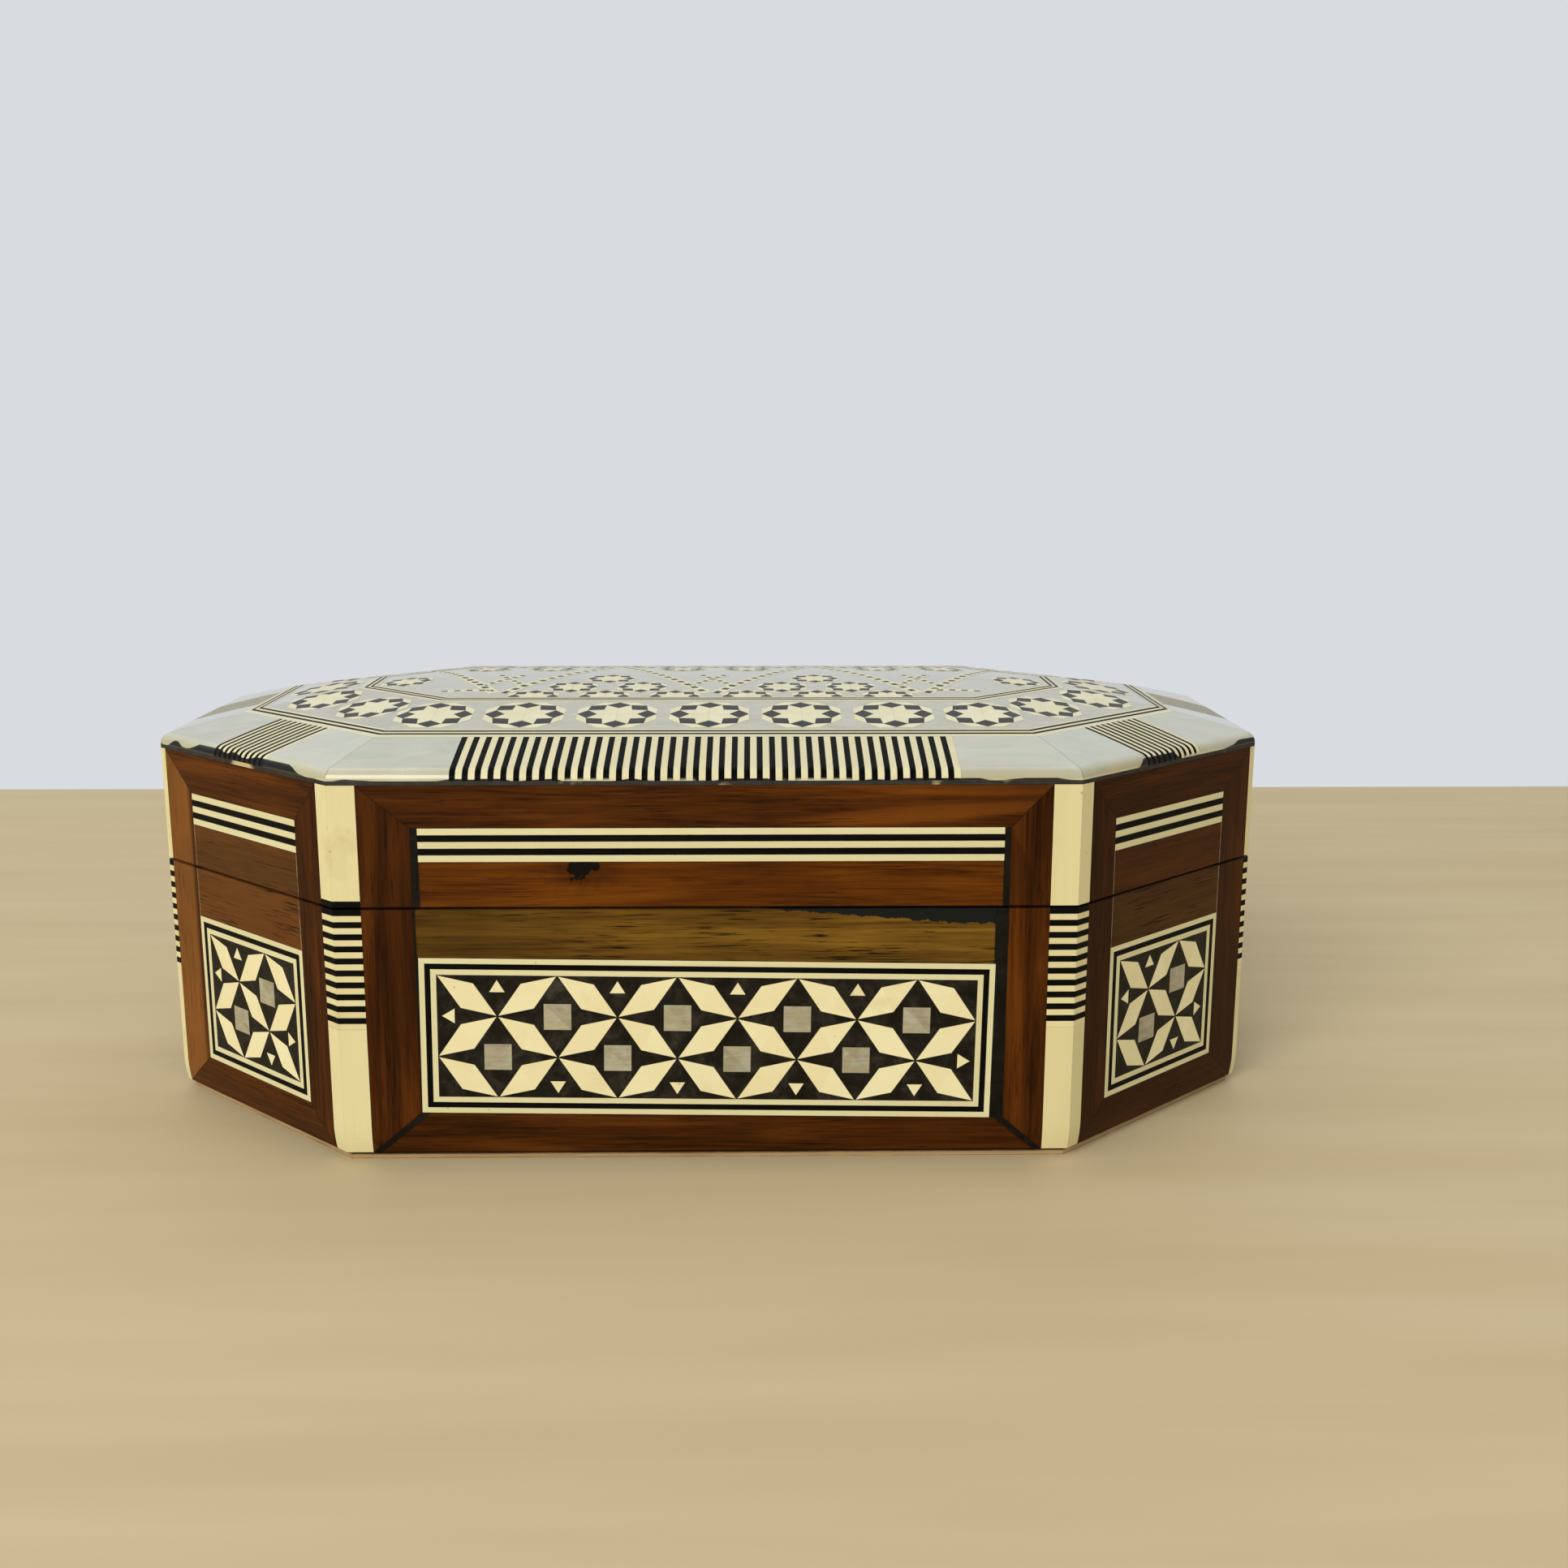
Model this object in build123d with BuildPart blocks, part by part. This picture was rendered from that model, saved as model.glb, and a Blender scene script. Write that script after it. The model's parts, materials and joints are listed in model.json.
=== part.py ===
from build123d import *
import math
import os

# Inlaid octagonal jewelry box with a hinged, gently domed lid. The origin lies under the centre of the
# bottom board, X runs along the box, the front looks towards -Y, and +Z is up. Sizes are in millimetres.

# Overall sizes of the closed box
length = 198.0
depth = 112.0
side_height = 65.5
seam_height = 44.3
corner_share_x = 0.192
corner_share_y = 0.304

# Lid crown: a small round at the edge, then a shallow arc up to the middle
crown_rise = 9.2
edge_round = 2.0

# Carcass
wall = 6.5
skin = 1.2
seam_gap = 0.4
board_thickness = 0.8
board_inset = 1.6
floor_thickness = 2.5
rim_height = 0.8
bottom_round_height = 5.5
bottom_round_inset = 0.7
lid_board_edge = 3.0
lining = 0.8
lining_drop = 1.5

# Corner strips: how far each one reaches over the two faces that it joins
strip_front = 4.6
strip_corner_front = 3.0
strip_corner_end = 1.4
strip_end = 4.6

# Veneer frames round the panels; the front's right stile is the narrower one
front_stile = 8.5
front_right_stile = 6.8
chamfer_front_stile = 6.5
chamfer_end_stile = 8.1
end_stile = 6.5
bottom_rail_top = 8.2
top_strip_bottom = 35.2
stringing_bottom = 52.1
stringing_top = 57.7
mastic_height = 0.7

# Filler strips on the front, where the veneers don't meet, and the panel that sits askew there
panel_gap_left = 0.3
panel_gap_right = 2.1
stringing_gap_left = 1.2
stringing_gap_right = 1.0
mitre_gap = 1.5
panel_tilt = -0.84

# Marquetry: lines of the panel border, then a lattice of tiles
border_line = 0.95
lattice_rows = 3
front_columns = 9
chamfer_columns = 3
end_columns = 3
tile_shrink = 0.97
rhomb_side = (0.61, 0.19)
pearl_square = (5.1, 4.5)
square_limit = 0.64
dart_width = 2.6
dart_height = 2.1
dart_inset = 0.8

# Rings of the lid's inlay, as distances in from the outline
border_width = 13.5
outer_stringing = 3.5
star_band = 15.5
inner_stringing = 3.0
stringing_lines = 5
front_block_half = 41.2
chamfer_block_half = 7.7
end_block_half = 7.7

# Butt hinges, let into the rims inside a V groove along the rear edge
hinge_spacing = 64.0
hinge_length = 20.0
hinge_inset = 1.7
knuckle_radius = 1.4
pin_radius = 0.5
pin_clearance = 0.05
knuckle_gap = 0.15
barrel_clearance = 0.25
leaf_thickness = 0.7
leaf_width = 4.6
open_angle = 100.0
bevel_spare = 1.0
bevel_relief = 0.12

# Worked out from the sizes above
corner_run_x = length * corner_share_x
corner_run_y = depth * corner_share_y
front_half = length / 2 - corner_run_x
end_half = depth / 2 - corner_run_y
corner_length = math.hypot(corner_run_x, corner_run_y)
corner_angle = math.degrees(math.atan2(corner_run_x, corner_run_y))
base_top = seam_height - seam_gap / 2
lid_bottom = seam_height + seam_gap / 2
skin_bottom = board_thickness + rim_height
mastic_bottom = side_height - mastic_height
lid_board_bottom = side_height - lid_board_edge
crown_run = min(depth, length) / 2
crown_radius = ((crown_run - edge_round) ** 2 + crown_rise**2 - edge_round**2) / (2 * (crown_rise - edge_round))
crown_centre_z = side_height + crown_rise - crown_radius
crown_top = side_height + crown_rise
axis_y = depth / 2 - hinge_inset
bevel_angle = math.radians(open_angle / 2 + bevel_spare)

outline = [
    (-front_half, -depth / 2),
    (front_half, -depth / 2),
    (length / 2, -end_half),
    (length / 2, end_half),
    (front_half, depth / 2),
    (-front_half, depth / 2),
    (-length / 2, end_half),
    (-length / 2, -end_half),
]


class Face:
    """One of the eight sides, named, with its veneer layout from left to right as seen from outside."""

    def __init__(self, name, index, left, right, columns, panel_gaps=(0, 0), stringing_gaps=(0, 0), mitre=0, tilt=0):
        start = Vector(*outline[index])
        end = Vector(*outline[(index + 1) % 8])
        self.name = name
        self.index = index
        self.half = (end - start).length / 2
        self.tangent = (end - start).normalized()
        self.normal = self.tangent.cross(Vector(0, 0, 1))
        self.middle = (start + end) * 0.5
        self.plane = Plane(origin=self.middle, x_dir=self.tangent, z_dir=self.normal)
        self.frame_left = -self.half + left[0]
        self.frame_right = self.half - right[0]
        self.open_left = self.frame_left + left[1]
        self.open_right = self.frame_right - right[1]
        self.panel_left = self.open_left + panel_gaps[0]
        self.panel_right = self.open_right - panel_gaps[1]
        self.stringing_left = self.open_left + stringing_gaps[0]
        self.stringing_right = self.open_right - stringing_gaps[1]
        self.has_fillers = mitre > 0
        self.mitre = mitre
        self.columns = columns
        self.tilt = tilt
        self.centre_t = (self.panel_left + self.panel_right) / 2
        self.centre_z = (bottom_rail_top + top_strip_bottom) / 2
        centre = self.plane.from_local_coords(Vector(self.centre_t, self.centre_z, 0))
        lean = math.radians(tilt)
        across = self.tangent * math.cos(lean) + Vector(0, 0, math.sin(lean))
        self.panel_plane = Plane(origin=centre, x_dir=across, z_dir=self.normal)
        self.panel_width = self.panel_right - self.panel_left
        self.panel_height = top_strip_bottom - bottom_rail_top

    def level(self, t, z):
        """Height, at t along the face, of a line that lies at z across the panel and tilts with it."""
        lean = math.radians(self.tilt)
        return self.centre_z + (z - self.centre_z) / math.cos(lean) + (t - self.centre_t) * math.tan(lean)


front_side = (strip_front, front_stile)
front_right_side = (strip_front, front_right_stile)
panel_gaps = (panel_gap_left, panel_gap_right)
stringing_gaps = (stringing_gap_left, stringing_gap_right)
corner_front_side = (strip_corner_front, chamfer_front_stile)
corner_end_side = (strip_corner_end, chamfer_end_stile)
end_side = (strip_end, end_stile)
faces = [
    Face("front", 0, front_side, front_right_side, front_columns, panel_gaps, stringing_gaps, mitre_gap, panel_tilt),
    Face("front_right", 1, corner_front_side, corner_end_side, chamfer_columns),
    Face("right", 2, end_side, end_side, end_columns),
    Face("rear_right", 3, corner_end_side, corner_front_side, chamfer_columns),
    Face("rear", 4, front_side, front_side, front_columns),
    Face("rear_left", 5, corner_front_side, corner_end_side, chamfer_columns),
    Face("left", 6, end_side, end_side, end_columns),
    Face("front_left", 7, corner_end_side, corner_front_side, chamfer_columns),
]


def ring(inset):
    """Corners of the outline moved in by inset, every side parallel to its own."""
    points = []
    for i in range(8):
        before = faces[i - 1].normal
        after = faces[i].normal
        along = before + after
        shift = along * (inset / (1 + before.dot(after)))
        points.append((outline[i][0] - shift.X, outline[i][1] - shift.Y))
    return points


def inset_outline(inset):
    """The outline moved in by inset as a sketch, also where that leaves a side with no length."""
    with BuildSketch() as shape:
        Rectangle(2 * length, 2 * length)
        for face in faces[:4]:
            width = 2 * (face.middle.dot(face.normal) - inset)
            turn = math.degrees(math.atan2(face.normal.Y, face.normal.X))
            Rectangle(width, 2 * length, rotation=turn, mode=Mode.INTERSECT)
    return shape.sketch


def form(inset, bottom):
    """The whole box as one solid, with its rounded foot and crowned lid, its surface moved in by inset.

    The lid's edge is round on the outside and sharp on the core inside it.
    """
    with BuildPart() as body:
        with BuildSketch(Plane.XY.offset(bottom)):
            Polygon(*ring(inset), align=None)
        extrude(amount=crown_top - bottom)
        for face in faces[:4]:
            half_width = face.middle.dot(face.normal)
            edge_x = half_width - edge_round
            crown_x = half_width - crown_run
            tilt = math.degrees(math.atan2(side_height - crown_centre_z, edge_x - crown_x))
            foot_radius = (bottom_round_height**2 + bottom_round_inset**2) / (2 * bottom_round_inset)
            foot_turn = math.degrees(math.asin(bottom_round_height / foot_radius))
            foot_z = board_thickness + bottom_round_height
            section = Plane(origin=(0, 0, 0), x_dir=face.normal, z_dir=-face.tangent)
            with BuildSketch(section):
                with BuildLine():
                    foot = CenterArc((half_width - foot_radius - inset, foot_z), foot_radius, -foot_turn, foot_turn)
                    if inset:
                        tilt = math.degrees(math.acos((crown_run - inset) / (crown_radius - inset)))
                    crown = CenterArc((crown_x, crown_centre_z), crown_radius - inset, tilt, 90 - tilt)
                    if inset:
                        Line(foot @ 1, crown @ 0)
                    else:
                        edge = CenterArc((edge_x, side_height), edge_round, 0, tilt)
                        Line(foot @ 1, edge @ 0)
                    Polyline(crown @ 1, (0, crown_top - inset), (0, board_thickness), foot @ 0)
                make_face()
                mirror(about=Plane.YZ)
            extrude(amount=length, both=True, mode=Mode.INTERSECT)
    return body.part


outer_form = form(0, board_thickness)
core_form = form(skin, board_thickness)


def finish(piece, name):
    """Labels a finished piece and writes it."""
    piece.label = name
    export_step(piece, f"parts/{name}.step")


def stop_groove(side):
    """The half of the rear V groove that is cut from the base (side -1) or from the lid (side 1)."""
    reach = hinge_inset + skin
    rise = (reach + bevel_relief) * math.tan(bevel_angle)
    with BuildPart() as groove:
        with BuildSketch(Plane.YZ):
            with BuildLine():
                Polyline(
                    (axis_y - bevel_relief, seam_height),
                    (axis_y + reach, seam_height),
                    (axis_y + reach, seam_height + side * rise),
                    close=True,
                )
            make_face()
        extrude(amount=length, both=True)
        with BuildSketch(*[Plane.YZ.offset(x - hinge_length / 2 - knuckle_gap) for x in hinge_places]):
            with Locations((axis_y, seam_height)):
                Circle(knuckle_radius + barrel_clearance)
        extrude(amount=hinge_length + 2 * knuckle_gap)
    return groove.part


def leaf_seat(side):
    """The shallow seats that take the hinge leaves in the base's rim (side -1) or the lid's (side 1)."""
    rim = seam_height + side * seam_gap / 2
    with BuildPart() as seat:
        with BuildSketch(Plane.XY.offset(rim)):
            with Locations(*[(x, axis_y - leaf_width / 2) for x in hinge_places]):
                Rectangle(hinge_length, leaf_width)
        extrude(amount=side * leaf_thickness)
    return seat.part


hinge_places = (-hinge_spacing / 2, hinge_spacing / 2)
base_groove = stop_groove(-1)
lid_groove = stop_groove(1)
base_seats = leaf_seat(-1)
lid_seats = leaf_seat(1)


def at_rear(face):
    return face.name.startswith("rear")


def base_bottom_board():
    with BuildPart() as board:
        with BuildSketch():
            Polygon(*ring(board_inset), align=None)
        extrude(amount=board_thickness)
    finish(board.part, "base_bottom_board")


def base_floor():
    with BuildPart() as floor:
        with BuildSketch(Plane.XY.offset(board_thickness)):
            Polygon(*ring(wall), align=None)
        extrude(amount=floor_thickness)
    finish(floor.part, "base_floor")


def walls():
    """Eight mitred core boards for the base and eight for the lid."""
    outer = ring(skin)
    inner = ring(wall)
    for face in faces:
        i = face.index
        j = (i + 1) % 8
        with BuildPart() as board:
            with BuildSketch(Plane.XY.offset(board_thickness)):
                Polygon(outer[i], outer[j], inner[j], inner[i], align=None)
            extrude(amount=base_top - board_thickness)
            add(core_form, mode=Mode.INTERSECT)
            if at_rear(face):
                add(base_groove, mode=Mode.SUBTRACT)
                add(base_seats, mode=Mode.SUBTRACT)
        finish(board.part, f"base_wall_{face.name}")
        with BuildPart() as lid_board:
            with BuildSketch(Plane.XY.offset(lid_bottom)):
                Polygon(outer[i], outer[j], inner[j], inner[i], align=None)
            extrude(amount=lid_board_bottom - lid_bottom)
            if at_rear(face):
                add(lid_groove, mode=Mode.SUBTRACT)
                add(lid_seats, mode=Mode.SUBTRACT)
        finish(lid_board.part, f"lid_wall_{face.name}")


def base_frames():
    """Stiles and bottom rails of the base, mitred where they meet, over the rounded foot."""
    deep = skin + bottom_round_inset
    with BuildPart() as rails:
        for face in faces:
            with BuildSketch(face.plane):
                inner_left = face.open_left + face.mitre
                inner_right = face.open_right - face.mitre
                Polygon(
                    (face.frame_left + face.mitre, skin_bottom),
                    (face.frame_right - face.mitre, skin_bottom),
                    (inner_right, face.level(inner_right, bottom_rail_top)),
                    (inner_left, face.level(inner_left, bottom_rail_top)),
                    align=None,
                )
            extrude(amount=-deep)
        add(outer_form, mode=Mode.INTERSECT)
        add(core_form, mode=Mode.SUBTRACT)
    finish(rails.part, "base_rails")
    with BuildPart() as stiles:
        for face in faces:
            with BuildSketch(face.plane):
                for edge_t, open_t in (
                    (face.frame_left, face.open_left),
                    (face.frame_right, face.open_right),
                ):
                    Polygon(
                        (edge_t, skin_bottom),
                        (open_t, face.level(open_t, bottom_rail_top)),
                        (open_t, base_top),
                        (edge_t, base_top),
                        align=None,
                    )
            extrude(amount=-deep)
        add(outer_form, mode=Mode.INTERSECT)
        add(core_form, mode=Mode.SUBTRACT)
        add(base_groove, mode=Mode.SUBTRACT)
    finish(stiles.part, "base_stiles")


def lid_frames():
    """Stiles and top rails of the lid."""
    with BuildPart() as rails:
        for face in faces:
            with BuildSketch(face.plane):
                Polygon(
                    (face.frame_left, mastic_bottom),
                    (face.open_left, stringing_top),
                    (face.open_right, stringing_top),
                    (face.frame_right, mastic_bottom),
                    align=None,
                )
            extrude(amount=-skin)
    finish(rails.part, "lid_rails")
    with BuildPart() as stiles:
        for face in faces:
            with BuildSketch(face.plane):
                for edge_t, open_t in (
                    (face.frame_left, face.open_left),
                    (face.frame_right, face.open_right),
                ):
                    Polygon(
                        (edge_t, mastic_bottom),
                        (open_t, stringing_top),
                        (open_t, lid_bottom),
                        (edge_t, lid_bottom),
                        align=None,
                    )
            extrude(amount=-skin)
        add(lid_groove, mode=Mode.SUBTRACT)
    finish(stiles.part, "lid_stiles")


def lid_bands(bottom, top):
    """A flat band on every side of the lid, from stile to stile or to the filler beside it."""
    with BuildPart() as bands:
        for face in faces:
            with BuildSketch(face.plane):
                Polygon(
                    (face.stringing_left, bottom),
                    (face.stringing_right, bottom),
                    (face.stringing_right, top),
                    (face.stringing_left, top),
                    align=None,
                )
            extrude(amount=-skin)
    return bands.part


def base_top_strips():
    """Strips over the panels, their lower edges along the panels' upper ones."""
    with BuildPart() as strips:
        for face in faces:
            with BuildSketch(face.plane):
                Polygon(
                    (face.panel_left, face.level(face.panel_left, top_strip_bottom)),
                    (face.panel_right, face.level(face.panel_right, top_strip_bottom)),
                    (face.panel_right, base_top),
                    (face.panel_left, base_top),
                    align=None,
                )
            extrude(amount=-skin)
        add(base_groove, mode=Mode.SUBTRACT)
    finish(strips.part, "base_top_strips")


def lid_lower_strips():
    with BuildPart() as strips:
        add(lid_bands(lid_bottom, stringing_bottom))
        add(lid_groove, mode=Mode.SUBTRACT)
    finish(strips.part, "lid_lower_strips")


def fillers():
    """Dark filler in the gaps of the front: beside the veneers, and along the mitres of the bottom rail."""
    filled = [face for face in faces if face.has_fillers]
    with BuildPart() as base:
        for face in filled:
            with BuildSketch(face.plane):
                for open_t, edge_t in ((face.open_left, face.panel_left), (face.open_right, face.panel_right)):
                    Polygon(
                        (open_t, face.level(open_t, top_strip_bottom)),
                        (edge_t, face.level(edge_t, top_strip_bottom)),
                        (edge_t, base_top),
                        (open_t, base_top),
                        align=None,
                    )
                for open_t, frame_t, gap in (
                    (face.open_left, face.frame_left, face.mitre),
                    (face.open_right, face.frame_right, -face.mitre),
                ):
                    Polygon(
                        (frame_t, skin_bottom),
                        (frame_t + gap, skin_bottom),
                        (open_t + gap, face.level(open_t + gap, bottom_rail_top)),
                        (open_t, face.level(open_t, bottom_rail_top)),
                        align=None,
                    )
            extrude(amount=-skin - bottom_round_inset)
            with BuildSketch(face.plane):
                Polygon(
                    (face.open_left, face.level(face.open_left, bottom_rail_top)),
                    (face.open_right, face.level(face.open_right, bottom_rail_top)),
                    (face.open_right, face.level(face.open_right, top_strip_bottom)),
                    (face.open_left, face.level(face.open_left, top_strip_bottom)),
                    align=None,
                )
            extrude(amount=-skin)
            with BuildSketch(face.panel_plane):
                Rectangle(face.panel_width, face.panel_height)
            extrude(amount=-skin, mode=Mode.SUBTRACT)
        add(outer_form, mode=Mode.INTERSECT)
        add(core_form, mode=Mode.SUBTRACT)
    finish(base.part, "base_fillers")
    with BuildPart() as lid:
        for face in filled:
            with BuildSketch(face.plane):
                for open_t, edge_t in ((face.open_left, face.stringing_left), (face.open_right, face.stringing_right)):
                    Polygon(
                        (open_t, lid_bottom),
                        (edge_t, lid_bottom),
                        (edge_t, stringing_top),
                        (open_t, stringing_top),
                        align=None,
                    )
            extrude(amount=-skin)
    finish(lid.part, "lid_fillers")


def corner_strips(bottom, top, groove):
    """Bone strips bent over the eight corners, thinned at the foot with the faces beside them."""
    deep = ring(skin + bottom_round_inset)
    with BuildPart() as strips:
        with BuildSketch(Plane.XY.offset(bottom)):
            for i in range(8):
                before = faces[i - 1]
                after = faces[i]
                reach_before = before.half - before.frame_right
                reach_after = after.half + after.frame_left
                corner = Vector(*outline[i])
                start = corner - before.tangent * reach_before
                end = corner + after.tangent * reach_after
                start_in = start - before.normal * (skin + bottom_round_inset)
                end_in = end - after.normal * (skin + bottom_round_inset)
                shape = [start, corner, end, end_in, Vector(*deep[i]), start_in]
                Polygon(*[(p.X, p.Y) for p in shape], align=None)
        extrude(amount=top - bottom)
        add(outer_form, mode=Mode.INTERSECT)
        add(core_form, mode=Mode.SUBTRACT)
        add(groove, mode=Mode.SUBTRACT)
    return strips.part


def framed_lines(first, last):
    """Closed border lines round every panel, between the insets first and last."""
    with BuildPart() as lines:
        for face in faces:
            width = face.panel_width
            height = face.panel_height
            with BuildSketch(face.panel_plane):
                Rectangle(width - 2 * first, height - 2 * first)
                Rectangle(width - 2 * last, height - 2 * last, mode=Mode.SUBTRACT)
            extrude(amount=-skin)
    return lines.part


class Lattice:
    """Grid of a panel, measured from the panel's middle: the corner, step and cell count of its pattern."""

    def __init__(self, face):
        margin = 3 * border_line
        self.left = -face.panel_width / 2 + margin
        self.bottom = -face.panel_height / 2 + margin
        self.columns = face.columns
        self.step_x = (face.panel_width - 2 * margin) / face.columns
        self.step_z = (face.panel_height - 2 * margin) / lattice_rows

    def node(self, column, row):
        """Place of a lattice node, with rows counted down from the top."""
        return (self.left + column * self.step_x, self.bottom + (lattice_rows - row) * self.step_z)

    def rhombs(self):
        """Leaf-shaped tiles, one in each cell, leaning alternately to either side."""
        side_x, side_z = rhomb_side
        for column in range(self.columns):
            for row in range(lattice_rows):
                leans_left = (column + row) % 2 == 0
                corners = []
                for u, v in ((0, 0), (side_x, side_z), (1, 1), (1 - side_x, 1 - side_z)):
                    across = u if leans_left else 1 - u
                    x = column + 0.5 + (across - 0.5) * tile_shrink
                    z = row + 0.5 + (v - 0.5) * tile_shrink
                    corners.append(self.node(x, z))
                yield corners

    def squares(self):
        """Centres of the pearl squares, in the stars between the leaf tiles."""
        for row in range(1, lattice_rows):
            for column in range(1, self.columns):
                if (column + row) % 2 == 1:
                    yield self.node(column, row)

    def dart(self, place, pointing):
        """A small triangle whose tip points out at the panel's border from a lattice node there."""
        size = min(1, self.step_x / dart_width / 2)
        out = Vector(*pointing)
        side = Vector(-out.Y, out.X) * (size * dart_width / 2)
        tip = Vector(*place) - out * dart_inset
        foot = tip - out * (size * dart_height)
        return [(tip.X, tip.Y), ((foot + side).X, (foot + side).Y), ((foot - side).X, (foot - side).Y)]

    def darts(self):
        """Darts at the border nodes that no leaf tile touches."""
        for column in range(1, self.columns):
            if column % 2 == 1:
                yield self.dart(self.node(column, 0), (0, 1))
            if (column + lattice_rows) % 2 == 1:
                yield self.dart(self.node(column, lattice_rows), (0, -1))
        for row in range(1, lattice_rows):
            if row % 2 == 1:
                yield self.dart(self.node(0, row), (-1, 0))
            if (self.columns + row) % 2 == 1:
                yield self.dart(self.node(self.columns, row), (1, 0))


def panel_squares():
    with BuildPart() as squares:
        for face in faces:
            lattice = Lattice(face)
            limit = square_limit * min(lattice.step_x, lattice.step_z)
            with BuildSketch(face.panel_plane):
                with Locations(*lattice.squares()):
                    Rectangle(min(pearl_square[0], limit), min(pearl_square[1], limit))
            extrude(amount=-skin)
    return squares.part


def panel_leaves():
    with BuildPart() as leaves:
        for face in faces:
            lattice = Lattice(face)
            with BuildSketch(face.panel_plane):
                for corners in list(lattice.rhombs()) + list(lattice.darts()):
                    Polygon(*corners, align=None)
            extrude(amount=-skin)
    return leaves.part


def panels():
    """The marquetry panels: three border lines, bone leaves, pearl squares and the dark ground they sit in."""
    with BuildPart() as bone_lines:
        add(framed_lines(0, border_line))
        add(framed_lines(2 * border_line, 3 * border_line))
    finish(bone_lines.part, "panel_lines_bone")
    finish(framed_lines(border_line, 2 * border_line), "panel_lines_ebony")
    squares = panel_squares()
    leaves = panel_leaves()
    with BuildPart() as grounds:
        for face in faces:
            margin = 3 * border_line
            with BuildSketch(face.panel_plane):
                Rectangle(face.panel_width - 2 * margin, face.panel_height - 2 * margin)
            extrude(amount=-skin)
        add(squares, mode=Mode.SUBTRACT)
        add(leaves, mode=Mode.SUBTRACT)
    finish(squares, "panel_squares_pearl")
    finish(leaves, "panel_leaves_bone")
    finish(grounds.part, "panel_grounds")


def lid_stringing():
    """Five alternating lines across every side of the lid, bone outermost."""
    pitch = (stringing_top - stringing_bottom) / stringing_lines
    with BuildPart() as bone:
        for i in range(0, stringing_lines, 2):
            add(lid_bands(stringing_bottom + i * pitch, stringing_bottom + (i + 1) * pitch))
    finish(bone.part, "lid_stringing_bone")
    with BuildPart() as ebony:
        for i in range(1, stringing_lines, 2):
            add(lid_bands(stringing_bottom + i * pitch, stringing_bottom + (i + 1) * pitch))
    finish(ebony.part, "lid_stringing_ebony")


def crown_ring(first, last):
    """A mitred ring of the lid's inlay, following the crown, between two distances in from the outline."""
    with BuildPart() as band:
        with BuildSketch(Plane.XY.offset(side_height)):
            add(inset_outline(first))
            if last:
                add(inset_outline(last), mode=Mode.SUBTRACT)
        extrude(amount=crown_rise)
        add(outer_form, mode=Mode.INTERSECT)
        add(core_form, mode=Mode.SUBTRACT)
    return band.part


def block_cutter():
    """The parts of the lid's border that hold the striped blocks, one at the middle of each side."""
    halves = {"front": front_block_half, "rear": front_block_half, "left": end_block_half, "right": end_block_half}
    with BuildPart() as cutter:
        for face in faces:
            half = halves.get(face.name, chamfer_block_half)
            with BuildSketch(Plane(origin=face.middle, x_dir=face.tangent, z_dir=(0, 0, 1))):
                with Locations((0, border_width / 2)):
                    Rectangle(2 * half, border_width)
            extrude(amount=crown_top)
    return cutter.part


def lid_top():
    """The crowned lid board and the inlay laid over it."""
    with BuildPart() as board:
        with BuildSketch(Plane.XY.offset(lid_board_bottom)):
            Polygon(*ring(skin), align=None)
        extrude(amount=crown_top - lid_board_bottom)
        add(core_form, mode=Mode.INTERSECT)
    finish(board.part, "lid_board")
    with BuildPart() as mastic:
        with BuildSketch(Plane.XY.offset(mastic_bottom)):
            Polygon(*ring(0), align=None)
            Polygon(*ring(skin), align=None, mode=Mode.SUBTRACT)
        extrude(amount=mastic_height)
    finish(mastic.part, "lid_mastic_line")
    border = crown_ring(0, border_width)
    cutter = block_cutter()
    with BuildPart() as plates:
        add(border)
        add(cutter, mode=Mode.SUBTRACT)
    finish(plates.part, "lid_border_pearl")
    with BuildPart() as blocks:
        add(border)
        add(cutter, mode=Mode.INTERSECT)
    finish(blocks.part, "lid_border_blocks")
    first = border_width + outer_stringing
    second = first + star_band
    third = second + inner_stringing
    finish(crown_ring(border_width, first), "lid_outer_stringing")
    finish(crown_ring(first, second), "lid_star_band")
    finish(crown_ring(second, third), "lid_inner_stringing")
    finish(crown_ring(third, None), "lid_centre_field")


def linings():
    """Thin fabric linings of the base and the lid, each an open tray against the walls."""
    floor_top = board_thickness + floor_thickness
    with BuildPart() as tray:
        with BuildSketch(Plane.XY.offset(floor_top)):
            Polygon(*ring(wall), align=None)
        extrude(amount=base_top - lining_drop - floor_top)
        with BuildSketch(Plane.XY.offset(floor_top + lining)):
            Polygon(*ring(wall + lining), align=None)
        extrude(amount=base_top, mode=Mode.SUBTRACT)
    finish(tray.part, "base_lining")
    with BuildPart() as lid_tray:
        with BuildSketch(Plane.XY.offset(lid_bottom + lining_drop)):
            Polygon(*ring(wall), align=None)
        extrude(amount=lid_board_bottom - lid_bottom - lining_drop)
        with BuildSketch(Plane.XY.offset(lid_bottom)):
            Polygon(*ring(wall + lining), align=None)
        extrude(amount=lid_board_bottom - lining - lid_bottom, mode=Mode.SUBTRACT)
    finish(lid_tray.part, "lid_lining")


def knuckles(x, first):
    """Every second one of a hinge's three knuckles, from the one numbered first."""
    width = hinge_length / 3
    with BuildPart() as barrels:
        for i in range(first, 3, 2):
            with BuildSketch(Plane.YZ.offset(x - hinge_length / 2 + i * width + knuckle_gap / 2)):
                with Locations((axis_y, seam_height)):
                    Circle(knuckle_radius)
            extrude(amount=width - knuckle_gap)
    return barrels.part


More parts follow.
